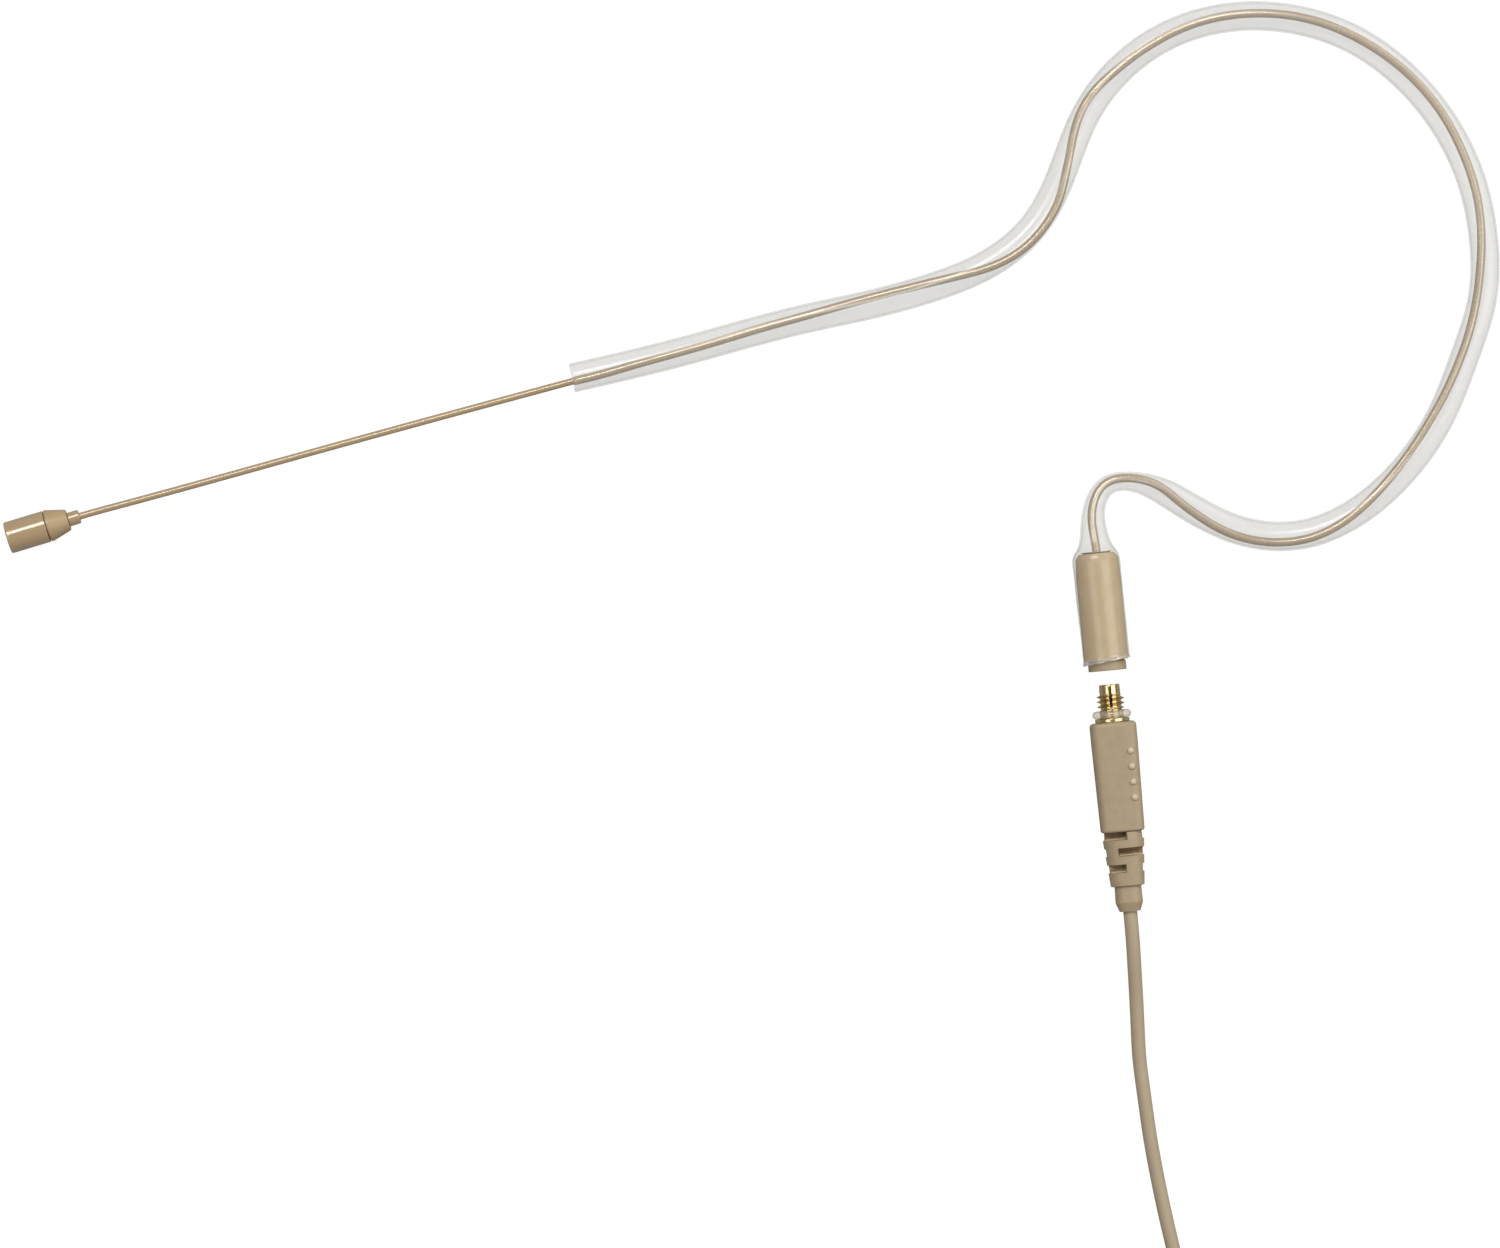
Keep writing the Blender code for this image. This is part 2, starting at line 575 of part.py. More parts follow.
def make_strain_relief():
    """The moulded boot: three rings on a tapering core, with alternate slots, and a neck."""
    core = CORD_R + 0.10
    shape = [
        (15.74, 2.12), (16.45, 2.08), (16.50, 2.22), (17.40, 2.15), (17.45, 2.04), (18.25, 1.98),
        (18.30, 2.06), (19.20, 1.97), (19.25, 1.86), (20.02, 1.80), (20.07, 1.92), (21.50, 1.80),
        (21.55, 1.50), (23.40, 1.42), (BOOT_END, 1.02),
    ]
    rings = [oval(size, size * 0.94, -u, count=16, fullness=2.5) for u, size in shape]
    bores = [circle(core, -u, count=16) for u, _ in shape]
    boot = skinned("strain_relief", rings, PLUG_FRAME, BEIGE_BODY, bores)
    pockets = bmesh.new()
    for level, side in ((16.12, -1), (17.85, 1), (19.62, -1)):
        add_block(pockets, (side * 1.35, -2.15, -level), (3.1, 2.0, 0.62))
        add_block(pockets, (-side * 1.35, 2.15, -level), (3.1, 2.0, 0.62))
    cut(boot, put("strain_relief_pockets", pockets, PLUG_FRAME, BEIGE_BODY, smooth=False))


# ---------------------------------------------------------------- cable and far plug


def make_cord():
    start = [in_table(PLUG_FRAME, (0, 0, -u)) for u in (CORD_START, BOOT_END, BOOT_END + 1.0)]
    corded("cord_lead", Route(start + LEAD_ROUTE), BEIGE_CORD)
    end = [in_table(FAR_FRAME, (0, 0, -u)) for u in (FAR_RELIEF_END, FAR_RELIEF_END - 1.5)]
    corded("cord_tail", Route(TAIL_ROUTE + end), BEIGE_CORD)
    frame = local_frame((*COIL_CENTRE, 0), (0, 0, 1), (1, 0, 0))
    low = COIL_LIFT
    high = low + 2 * CORD_R + (COIL_ROWS - 1) * COIL_ROW_GAP + 0.02
    inner, outer = COIL_INNER - COIL_SKIN, COIL_OUTER + COIL_SKIN
    ease = 0.5
    outline = [
        (inner, low + ease), (inner + ease, low), (outer - ease, low), (outer, low + ease),
        (outer, high - ease), (outer - ease, high), (inner + ease, high), (inner, high - ease),
    ]
    turned("cord_coil", outline, frame, BEIGE_CORD, sides=32)
    edge = (inner**2 - (TIE_WIDTH / 2) ** 2) ** 0.5
    for number, angle in enumerate(TIE_ANGLES, 1):
        make_tie(f"coil_tie_{number}", angle, edge - 0.08, outer + 0.08, low - 0.08, high + 0.08)


def make_tie(name, angle, inner, outer, low, high):
    """A flat strap closed round the coil's bundle of turns."""
    corners = [(inner, low), (outer, low), (outer, high), (inner, high)]
    signs = [(-1, -1), (1, -1), (1, 1), (-1, 1)]
    rings, bores = [], []
    for y in (-TIE_WIDTH / 2, TIE_WIDTH / 2):
        bores.append([(x, y, z) for x, z in corners])
        rings.append(
            [(x + i * TIE_THICK, y, z + k * TIE_THICK) for (x, z), (i, k) in zip(corners, signs)]
        )
    way = (cos(radians(angle)), sin(radians(angle)), 0)
    frame = local_frame((*COIL_CENTRE, 0), (0, 0, 1), way)
    skinned(name, rings, frame, STRAP, bores)


def make_far_plug():
    bore = FAR_BORE_R
    outline = [
        (bore, 0.0), (FAR_NOSE_R - 0.25, 0.0), (FAR_NOSE_R, -0.25), (FAR_NOSE_R, -FAR_STEP),
        (FAR_BODY_R - 0.2, -FAR_STEP), (FAR_BODY_R, -FAR_STEP - 0.2), (FAR_BODY_R, -FAR_SHELL_END),
        (bore, -FAR_SHELL_END),
    ]
    shell = turned("far_shell", outline, FAR_FRAME, NICKEL, sides=32)
    window = bmesh.new()
    across, _, along = LATCH_SIZE
    add_block(window, (0, -FAR_BODY_R, -LATCH_PLACE), (across + 0.4, 4.0, along + 0.4))
    cut(shell, put("far_shell_window", window, FAR_FRAME, NICKEL, smooth=False))

    insert = rod("far_insert", FAR_INSERT_R, -14.0, -0.8, FAR_FRAME, BLACK, sides=24)
    holes = bmesh.new()
    for number in range(3):
        angle = radians(90 + 120 * number)
        x, y = FAR_CONTACT_RING * cos(angle), FAR_CONTACT_RING * sin(angle)
        hole = Vector((x, y, -7.0)) * MM
        bmesh.ops.create_cone(
            holes, segments=12, radius1=(FAR_CONTACT_R + 0.06) * MM,
            radius2=(FAR_CONTACT_R + 0.06) * MM, depth=20 * MM, cap_ends=True,
            matrix=Matrix.Translation(hole),
        )
        frame = FAR_FRAME @ Matrix.Translation(Vector((x, y, 0)) * MM)
        outline = [(0, -15.6), (FAR_CONTACT_R, -15.6), (FAR_CONTACT_R, -1.1), (0.36, -1.1), (0.36, -7)]
        turned(f"far_contact_{number + 1}", outline + [(0, -7)], frame, GOLD, sides=12)
    cut(insert, put("far_insert_holes", holes, FAR_FRAME, BLACK, smooth=False))

    washer("far_clamp", CORD_R + 0.15, 3.4, -21.5, -16.5, FAR_FRAME, BLACK)
    outline = [
        (2.0, -22.5), (3.4, -22.5), (3.4, -FAR_SHELL_END - 0.1), (4.7, -FAR_SHELL_END - 0.1),
        (4.7, -27.6), (4.1, -FAR_NUT_END), (2.0, -FAR_NUT_END),
    ]
    turned("far_nut", outline, FAR_FRAME, NICKEL, sides=24)


def make_far_relief():
    core = CORD_R + 0.10
    outline = [(core, -23.0), (1.9, -23.0), (1.9, -FAR_NUT_END - 0.1), (3.2, -FAR_NUT_END - 0.1)]
    grooves = 4
    pitch = (FAR_RELIEF_END - FAR_NUT_END - 1.5) / grooves
    for i in range(grooves):
        start = FAR_NUT_END + 0.1 + (i + 0.55) * pitch
        size = 3.2 - 1.7 * (i + 0.5) / grooves
        outline += [(size, -start), (size - 0.35, -start - 0.1), (size - 0.4, -start - 0.9)]
        outline += [(size - 0.12, -start - 1.0)]
    outline += [(1.45, -FAR_RELIEF_END), (core, -FAR_RELIEF_END)]
    turned("far_relief", outline, FAR_FRAME, RUBBER, sides=16)


def make_far_latch():
    """The push latch in the shell's window, and the leaf that returns it."""
    across, deep, along = LATCH_SIZE
    middle = -4.1 - deep / 2
    frame = FAR_FRAME @ Matrix.Translation(Vector((0, middle, -LATCH_PLACE)) * MM)
    block("far_latch", (0, 0, 0), LATCH_SIZE, frame, NICKEL, round_off=0.25)
    leaf = bmesh.new()
    add_block(leaf, (0, -3.78, -LATCH_PLACE), (across - 0.8, 0.16, along - 1.0))
    put("far_latch_spring", leaf, FAR_FRAME, STEEL, smooth=False)


def main():
    clear_scene()
    make_capsule_cap()
    make_capsule_housing()
    make_element()
    make_boom()
    sleeve = sleeve_route()
    make_sleeve(sleeve)
    make_tubes(sleeve)
    make_socket()
    make_plug_contact()
    make_plug_inside()
    make_plug_body()
    make_strain_relief()
    make_cord()
    make_far_plug()
    make_far_relief()
    make_far_latch()


main()
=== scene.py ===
"""Looks of the single-ear headset microphone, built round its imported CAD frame.

The earset lies flat, its boom to the left and its ear loop to the right. The cable's plug faces
the socket across a gap. Shapes are given in millimetres, and the helpers turn them into metres.
"""

from math import acos, cos, pi, radians, sin, sqrt, tan

import bmesh
import bpy
import numpy as np
from mathutils import Matrix, Vector


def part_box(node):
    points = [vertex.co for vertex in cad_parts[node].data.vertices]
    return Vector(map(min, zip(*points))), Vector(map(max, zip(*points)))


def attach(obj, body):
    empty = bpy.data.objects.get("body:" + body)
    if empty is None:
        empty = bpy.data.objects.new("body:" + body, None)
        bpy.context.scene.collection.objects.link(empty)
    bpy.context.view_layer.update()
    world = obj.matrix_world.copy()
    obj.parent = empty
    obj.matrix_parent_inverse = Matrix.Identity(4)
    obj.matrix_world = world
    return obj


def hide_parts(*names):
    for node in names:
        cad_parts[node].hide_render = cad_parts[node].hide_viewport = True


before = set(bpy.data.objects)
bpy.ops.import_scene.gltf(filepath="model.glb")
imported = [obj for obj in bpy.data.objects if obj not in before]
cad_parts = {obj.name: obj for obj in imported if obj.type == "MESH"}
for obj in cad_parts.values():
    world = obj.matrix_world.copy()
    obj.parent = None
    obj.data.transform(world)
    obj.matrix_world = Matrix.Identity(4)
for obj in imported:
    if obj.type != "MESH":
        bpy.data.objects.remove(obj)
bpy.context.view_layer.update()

MM = 0.001

# ---- places, as in the part

SEAM, CAPSULE_WAY = (-74.84, -7.40, 1.71), (-0.957, -0.290, 0.0)
TIP, SOCKET_WAY, CROSS_WAY = (38.19, -24.26, 2.55), (-0.0932, 0.9956, 0.0), (0.9956, 0.0932, 0.0)
FAR_NOSE = (-57.0, -116.5, 4.92)
LOOP_Z = 1.57
LEAD_R = 0.17

# The clear sleeve's middle line, then what follows it: its outer radius and how far it sits to the
# right, by distance from its lower end, where it is drawn over the socket
SLEEVE_ROUTE = [
    (-18.9, 8.4), (-12.4, 9.9), (-6.1, 11.5), (0.2, 13.25), (6.6, 14.85), (13.0, 16.25),
    (19.3, 18.0), (25.3, 20.5), (30.3, 24.7), (33.3, 30.4), (35.8, 36.5), (39.8, 41.65),
    (45.3, 45.25), (51.6, 46.85), (58.1, 46.55), (64.3, 44.45), (69.6, 40.65), (73.8, 35.65),
    (76.7, 29.8), (78.1, 23.4), (78.0, 16.85), (76.1, 10.6), (73.65, 4.5), (70.1, -0.9),
    (65.3, -5.4), (59.4, -8.15), (52.9, -8.05), (46.9, -5.4), (41.2, -2.75), (38.0, -3.1),
    (36.55, -6.0),
]
SLEEVE_CLIMB = [1.62, 1.85, 2.05, 2.35]
SLEEVE_GRIP = [-14.6, -12.4, -10, -7.5, -5, -2.66]
SLEEVE_GIRTH = [
    (0, 2.49), (2, 2.50), (4.3, 2.52), (6.3, 2.54), (8.3, 2.54), (9.8, 2.55), (10.7, 2.54), (11.3, 2.37),
    (12, 1.95), (12.9, 1.62), (14.5, 1.36), (16.5, 1.16), (18.2, 1.07), (20, 1.03), (21.5, 1.05),
    (23.3, 1.22), (25.3, 1.44), (28, 1.56), (31, 1.57), (34, 1.57),
]
SLEEVE_SHIFT = [
    (0, 0.01), (2.3, 0.025), (4.3, 0.055), (6.3, 0.10), (8.3, 0.105), (9.8, 0.13), (10.8, 0.14),
    (12, 0.12), (13.4, 0.03), (16, 0),
]
# How far the ear wire lies to the right of that line, by distance from the boom's side
EAR_WIRE_WANDER = [
    (0, 0.38), (3.5, 0.31), (6, 0.17), (11, 0.02), (16, -0.06), (21, -0.17), (26, -0.32),
    (30.5, -0.60), (34.5, -0.72), (38.5, -0.60), (41, -0.40), (43.5, -0.05), (46, 0.40),
    (48.5, 0.76), (51.2, 0.94), (53.8, 0.96), (56.2, 0.82), (58.5, 0.45), (61, 0.05),
    (63.5, -0.38), (66, -0.62), (68.5, -0.52), (71, -0.22), (73.5, -0.06), (76, 0.00),
    (79, -0.05), (83.5, -0.18), (88.5, -0.29), (93, -0.35), (98, -0.30), (102, -0.36),
    (106.5, -0.46), (111, -0.42), (116, -0.22), (121, -0.05), (125, 0.25), (128.5, 0.55),
    (132, 0.58), (136.5, 0.38), (141, 0.53), (145, 0.76), (148.5, 0.76), (151, 0.67),
    (153.5, 0.50), (156, 0.24), (158.5, -0.06), (161, -0.34), (163.5, -0.54), (166.5, -0.64),
    (170, -0.66), (173.5, -0.55), (176, -0.33), (178.5, -0.05), (181, 0.36), (183.5, 0.38),
    (186, 0.28), (189, 0.21), (193, 0.02),
]
BOOM_ROUTE = [
    (-66.0, -4.87, 1.69), (-50.0, -0.46, 1.65), (-34.0, 3.95, 1.60), (-18.68, 8.09, LOOP_Z),
]
# The cable where it isn't coiled, from the plug's boot to the coil and on to the far plug
CORD_R = 0.75
CORD_START, BOOT_END = 23.4, 24.2
LEAD_ROUTE = [
    (40.7, -51.2, 2.48), (40.9, -54.0, 2.10), (41.1, -57.0, 1.50), (41.3, -60.5, 0.98),
    (41.5, -64.0, 0.80), (41.95, -67.6, 0.80), (42.6, -72.2, 0.80), (43.45, -76.9, 0.80),
    (44.45, -81.6, 0.80), (45.6, -86.3, 0.82), (46.75, -90.5, 0.92), (47.7, -94.6, 1.05),
]
TAIL_ROUTE = [
    (27.5, -116.4, 3.80), (23.5, -116.7, 2.00), (19.5, -116.9, 0.95), (15.0, -117.0, 0.80),
    (10.0, -116.9, 0.80), (5.0, -116.7, 0.82), (1.5, -116.6, 1.30), (-2.0, -116.5, 2.60),
    (-5.5, -116.5, 4.10), (-8.5, -116.5, 4.82),
]
COIL_CENTRE, COIL_INNER, COIL_OUTER = (35.7, -103.0), 5.25, 12.75
COIL_ROWS, COIL_ROW_GAP, COIL_LOW = 4, 1.56, 1.10
COIL_START, COIL_TURN = 12.0, 19 * 360 + 102.0
COIL_POINTS_A_TURN = 30
TIE_ANGLES = (-25, 155)

# Colours, linear
LACQUER = (0.432, 0.305, 0.167)
WIRE_LACQUER = (0.64, 0.51, 0.345)
MOULDED = (0.385, 0.297, 0.182)
PALE_MOULDED = (0.64, 0.475, 0.262)
# Painted shade: a dark brown laid on the boot's pockets, the capsule's seam, the socket's groove and the
# collar's gap, where shade falls
PAINTED_SHADE_BROWN = (0.20, 0.132, 0.062)
# Painted highlight: a lighter beige for the grip's dots, whose lower roughness is real gloss
GLOSSY_PAINTED_HIGHLIGHT = (0.60, 0.48, 0.33)
JACKET = (0.425, 0.340, 0.225)
GOLD = (0.68, 0.535, 0.285)
NICKEL = (0.60, 0.58, 0.54)


# ---- frames and curves


def local_frame(origin, up, right):
    """A frame at origin (mm) with local Z along up and local X towards right."""
    z = Vector(up).normalized()
    x = Vector(right)
    x = (x - x.dot(z) * z).normalized()
    turn = Matrix((x, z.cross(x), z)).transposed().to_4x4()
    return Matrix.Translation(Vector(origin) * MM) @ turn


TABLE = Matrix.Identity(4)
CAPSULE = local_frame(SEAM, CAPSULE_WAY, (0, 0, 1))
PLUG = local_frame(TIP, SOCKET_WAY, CROSS_WAY)
FAR = local_frame(FAR_NOSE, (-1, 0, 0), (0, 1, 0))


def in_table(place, point):
    """A local point (mm) of a frame as a table point (mm)."""
    return tuple(place @ (Vector(point) * MM) / MM)


def reach(node, place):
    """A CAD node's outer radius about a frame's Z axis, and its lowest and highest place on it."""
    points = np.array([v.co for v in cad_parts[node].data.vertices], float)
    back = np.array(place.inverted())
    local = (points @ back[:3, :3].T + back[:3, 3]) / MM
    return np.hypot(local[:, 0], local[:, 1]).max(), local[:, 2].min(), local[:, 2].max()


class Route:
    """A natural cubic spline through points (mm), read by the distance along it."""

    def __init__(self, points):
        self.points = np.array(points, float)
        gaps = np.linalg.norm(np.diff(self.points, axis=0), axis=1)
        self.knots = np.concatenate([[0.0], np.cumsum(gaps)])
        count = len(points)
        system = np.eye(count)
        pull = np.zeros_like(self.points)
        slopes = np.diff(self.points, axis=0) / gaps[:, None]
        for i in range(1, count - 1):
            system[i, i - 1 : i + 2] = gaps[i - 1], 2 * (gaps[i - 1] + gaps[i]), gaps[i]
            pull[i] = 6 * (slopes[i] - slopes[i - 1])
        self.bends = np.linalg.solve(system, pull)
        self.fine = np.linspace(0, self.knots[-1], 12000)
        walked = np.linalg.norm(np.diff(self.at_knot(self.fine), axis=0), axis=1)
        self.walked = np.concatenate([[0.0], np.cumsum(walked)])
        self.length = self.walked[-1]

    def at_knot(self, where):
        """Points at places counted in straight steps from one given point to the next."""
        i = np.clip(np.searchsorted(self.knots, where, "right") - 1, 0, len(self.points) - 2)
        gap = (self.knots[i + 1] - self.knots[i])[:, None]
        a = (self.knots[i + 1] - where)[:, None] / gap
        b = 1 - a
        bow = ((a**3 - a) * self.bends[i] + (b**3 - b) * self.bends[i + 1]) * gap**2 / 6
        return a * self.points[i] + b * self.points[i + 1] + bow

    def at(self, distances):
        """Points at distances along the route itself."""
        return self.at_knot(np.interp(distances, self.walked, self.fine))

    def ways(self, distances):
        """Unit directions along the route."""
        step = 0.05
        ahead = self.at(np.minimum(distances + step, self.length))
        behind = self.at(np.maximum(distances - step, 0))
        return unit(ahead - behind)

    def stations(self, gap):
        """Even distances along the route, about gap apart."""
        return np.linspace(0, self.length, int(self.length / gap) + 2)


def traced(where, table):
    """Reads a table of (place, value) pairs along a smooth curve through them."""
    curve = Route([(place, value, 0) for place, value in table])
    points = curve.at(curve.fine)
    return np.interp(where, points[:, 0], points[:, 1])


def ramp(value, low, high):
    """0 below low, 1 above high and smooth between them."""
    part = np.clip((value - low) / (high - low), 0, 1)
    return part**2 * (3 - 2 * part)


def unit(rows):
    """Rows scaled to a length of one."""
    return rows / np.linalg.norm(rows, axis=1)[:, None]


def full_turn(sides):
    """Even angles once round."""
    return np.linspace(0, 2 * pi, sides, endpoint=False)


def rounded_in(radius, away):
    """How far a surface draws in at a distance away from an end that is rounded to a radius."""
    return radius - sqrt(max(radius**2 - max(radius - away, 0.0) ** 2, 0.0))


def across(ways):
    """Two unit directions across each way: level to its right, and over it."""
    right = unit(np.stack([ways[:, 1], -ways[:, 0], np.zeros(len(ways))], axis=1))
    return right, np.cross(right, ways)


def rings_along(points, ways, radii, sides):
    """Round rings of points, one across each place of a route."""
    right, over = across(ways)
    angles = full_turn(sides)
    radii = np.broadcast_to(radii, len(points))[:, None, None]
    c, s = np.cos(angles)[None, :, None], np.sin(angles)[None, :, None]
    return points[:, None] + radii * (c * right[:, None] + s * over[:, None])


# ---- meshes


def placed(name, data):
    """A new object in the scene."""
    thing = bpy.data.objects.new(name, data)
    bpy.context.scene.collection.objects.link(thing)
    return thing


def made(name, form, place, crease):
    """A bmesh as an object at a place, smooth but for edges that turn more than crease degrees."""
    bmesh.ops.remove_doubles(form, verts=form.verts, dist=1e-7)
    bmesh.ops.recalc_face_normals(form, faces=form.faces)
    mesh = bpy.data.meshes.new(name)
    form.to_mesh(mesh)
    form.free()
    mesh.shade_smooth()
    mesh.set_sharp_from_angle(angle=radians(crease))
    thing = placed(name, mesh)
    thing.matrix_world = place
    return thing


def skin(form, rings, looped=False):
    """Adds a skin through rings of points (mm) to a bmesh, with flat ends or back to its start."""
    rings = np.asarray(rings, float)
    spots = [[form.verts.new(p) for p in ring * MM] for ring in rings]
    pairs = list(zip(spots, spots[1:]))
    if looped:
        pairs.append((spots[-1], spots[0]))
    for first, second in pairs:
        for i in range(len(first)):
            j = (i + 1) % len(first)
            form.faces.new((first[i], first[j], second[j], second[i]))
    if not looped:
        form.faces.new(spots[0])
        form.faces.new(spots[-1][::-1])


def skinned(name, rings, place=TABLE, looped=False, crease=40):
    """A piece that is one skin through rings of points."""
    form = bmesh.new()
    skin(form, rings, looped)
    return made(name, form, place, crease)


def softened(outline, size=0.06, closed=True, steps=4):
    """An outline with its corners rounded off. A corner's third value is its own rounding. The
    points just outside a rounding keep the long faces beside it flat in their shading."""
    guard, most_of_a_side, least_tan = 0.12, 0.42, 0.05
    spots = [np.array(corner[:2], float) for corner in outline]
    last = len(spots) - 1
    smooth = []
    for i, here in enumerate(spots):
        radius = outline[i][2] if len(outline[i]) > 2 else size
        if radius == 0 or (not closed and i in (0, last)):
            smooth.append(here)
            continue
        into, out = spots[i - 1] - here, spots[(i + 1) % len(spots)] - here
        long_in, long_out = np.linalg.norm(into), np.linalg.norm(out)
        half = acos(max(-1.0, min(1.0, into @ out / (long_in * long_out)))) / 2
        longest = most_of_a_side * min(long_in, long_out)
        back = min(radius / max(tan(half), least_tan), longest)
        edge_in, edge_out = here + into / long_in * back, here + out / long_out * back
        smooth.append(edge_in + (edge_in - here) * guard)
        for k in range(steps + 1):
            t = k / steps
            smooth.append((1 - t) ** 2 * edge_in + 2 * t * (1 - t) * here + t**2 * edge_out)
        smooth.append(edge_out + (edge_out - here) * guard)
    return smooth


def wound(radii, heights, sides):
    """Rings of points round local Z, a row of radii and a height for each."""
    angles = full_turn(sides)
    levels = np.repeat(heights, sides, 1)
    return np.stack([radii * np.cos(angles), radii * np.sin(angles), levels], axis=2)


def circles(outline, sides):
    """Rings of points round local Z for (radius, height) pairs."""
    outline = np.array(outline, float)
    return wound(outline[:, :1], outline[:, 1:], sides)


def turned(name, outline, place, size=0.06, sides=72, crease=40):
    """A turned piece. Its outline closes on itself unless it starts and ends on the axis."""
    closed = outline[0][0] != 0
    smooth = softened(outline, size, closed)
    if not closed:
        smooth[0], smooth[-1] = (1e-5, smooth[0][1]), (1e-5, smooth[-1][1])
    return skinned(name, circles(smooth, sides), place, closed, crease)


def cut(thing, *cutters, crease=40):
    """Cuts closed pieces out of a thing, and removes them."""
    for cutter in cutters:
        step = thing.modifiers.new("cut", "BOOLEAN")
        step.operation, step.object = "DIFFERENCE", cutter
    bpy.context.view_layer.update()
    solved = thing.evaluated_get(bpy.context.evaluated_depsgraph_get())
    shape = bpy.data.meshes.new_from_object(solved)
    thing.modifiers.clear()
    thing.data = shape
    shape.shade_smooth()
    shape.set_sharp_from_angle(angle=radians(crease))
    for cutter in cutters:
        bpy.data.objects.remove(cutter)
    return thing


def block(name, centre, size, place, round_off=0.0):
    """A box to cut with, its edges rounded off if wanted."""
    form = bmesh.new()
    box = bmesh.ops.create_cube(form, size=1.0)
    bmesh.ops.scale(form, vec=Vector(size) * MM, verts=box["verts"])
    bmesh.ops.translate(form, vec=Vector(centre) * MM, verts=box["verts"])
    if round_off:
        bmesh.ops.bevel(
            form, geom=form.edges[:], offset=round_off * MM, segments=4, affect="EDGES", profile=0.5
        )
    return made(name, form, place, 40)


# ---- materials


def feed(tree, shader, **inputs):
    """Gives a shader node its inputs, by name with _ for a space: a value or another's output."""
    for name, value in inputs.items():
        socket = shader.inputs[name.replace("_", " ")]
        if isinstance(value, bpy.types.NodeSocket):
            tree.links.new(value, socket)
        else:
            socket.default_value = value
    return shader


def node(tree, kind, **inputs):
    """A new shader node with its inputs."""
    return feed(tree, tree.nodes.new(kind), **inputs)


def grain(tree, scale, detail=3.0, stretch=(1, 1, 1)):
    """A noise over the piece's own coordinates. Scale counts its features in a metre."""
    where = node(tree, "ShaderNodeTexCoord").outputs["Object"]
    if stretch != (1, 1, 1):
        where = node(tree, "ShaderNodeMapping", Vector=where, Scale=stretch).outputs["Vector"]
    noise = node(tree, "ShaderNodeTexNoise", Vector=where, Scale=scale, Detail=detail)
    return noise.outputs["Fac"]


def between(tree, factor, low, high):
    """A value from low to high as the factor goes from 0.3 to 0.7, the span of a noise."""
    span = {"From_Min": 0.3, "From_Max": 0.7, "To_Min": low, "To_Max": high}
    return node(tree, "ShaderNodeMapRange", Value=factor, **span).outputs["Result"]


def blended(tree, factor, first, second):
    """A colour between two, each given as a tuple or an output."""
    mix = tree.nodes.new("ShaderNodeMix")
    mix.data_type = "RGBA"
    tree.links.new(factor, mix.inputs["Factor"])
    for socket, colour in ((mix.inputs[6], first), (mix.inputs[7], second)):
        if isinstance(colour, bpy.types.NodeSocket):
            tree.links.new(colour, socket)
        else:
            socket.default_value = (*colour, 1.0)
    return mix.outputs[2]


def shades(colour, spread):
    """A colour's darker and lighter shade."""
    return [tuple(c * k for c in colour) for k in (1 - spread, 1 + spread)]


def speckled(tree, colour, spread, patches):
    """A colour in patches of its two shades."""
    return blended(tree, between(tree, grain(tree, patches), 0, 1), *shades(colour, spread))


def new_material(name):
    """A material with its node tree and Principled shader."""
    material = bpy.data.materials.new(name)
    material.use_nodes = True
    return material, material.node_tree, material.node_tree.nodes["Principled BSDF"]


def solid(
    name, colour, spread=0.04, roughness=(0.4, 0.5), patches=300, fine=6000, bump=0.2,
    depth=0.00001, stretch=(1, 1, 1), **constants,
):
    """An opaque material: broad patches of shade, and a fine grain in its gloss and its relief."""
    material, tree, shader = new_material(name)
    small = grain(tree, fine, stretch=stretch)
    colours = speckled(tree, colour, spread, patches)
    feed(tree, shader, Base_Color=colours, Roughness=between(tree, small, *roughness), **constants)
    if bump:
        relief = node(tree, "ShaderNodeBump", Strength=bump, Distance=depth, Height=small)
        feed(tree, shader, Normal=relief.outputs["Normal"])
    return material


CLEAR_METALLIC, RIM_POWER = 0.28, 3.5


def clear(name, tint, rim_tint, body, share, rim_share, roughness):
    """A clear soft plastic. What is behind shows through a tint that deepens to the rim, under a
    gloss that grows to it, with a little haze."""
    material, tree, shader = new_material(name)
    haze = between(tree, grain(tree, 1500), *roughness)
    colours = speckled(tree, body, 0.04, 900)
    feed(tree, shader, Base_Color=colours, Roughness=haze, Metallic=CLEAR_METALLIC)
    facing = node(tree, "ShaderNodeLayerWeight", Blend=0.5).outputs["Facing"]
    rim = node(tree, "ShaderNodeMath", Value=facing)
    rim.operation = "POWER"
    rim.inputs[1].default_value = RIM_POWER
    tints = blended(tree, rim.outputs[0], tint, rim_tint)
    through = node(tree, "ShaderNodeBsdfTransparent", Color=tints)
    spread = node(tree, "ShaderNodeMapRange", Value=rim.outputs[0], To_Min=share, To_Max=rim_share)
    mix = node(tree, "ShaderNodeMixShader", Fac=spread.outputs["Result"])
    tree.links.new(through.outputs[0], mix.inputs[1])
    tree.links.new(shader.outputs[0], mix.inputs[2])
    tree.links.new(mix.outputs[0], tree.nodes["Material Output"].inputs["Surface"])
    return material


def woven(name, colour, threads):
    """A woven strap: crossing threads over local X and Y."""
    material, tree, shader = new_material(name)
    where = node(tree, "ShaderNodeTexCoord").outputs["Object"]
    heights = []
    for direction in ("X", "Y"):
        wave = node(tree, "ShaderNodeTexWave", Vector=where, Scale=threads, Distortion=0.6)
        wave.bands_direction = direction
        heights.append(wave.outputs["Fac"])
    weave = node(tree, "ShaderNodeMath")
    weave.operation = "MULTIPLY"
    for socket, height in zip(weave.inputs, heights):
        tree.links.new(height, socket)
    colours = blended(tree, weave.outputs[0], *shades(colour, 0.45))
    relief = node(tree, "ShaderNodeBump", Strength=0.7, Distance=0.00006, Height=weave.outputs[0])
    feed(tree, shader, Base_Color=colours, Normal=relief.outputs["Normal"], Roughness=0.85,
         Sheen_Weight=0.3)
    return material


def paint(thing, material):
    """Makes a material the thing's only one."""
    thing.data.materials.clear()
    thing.data.materials.append(material)


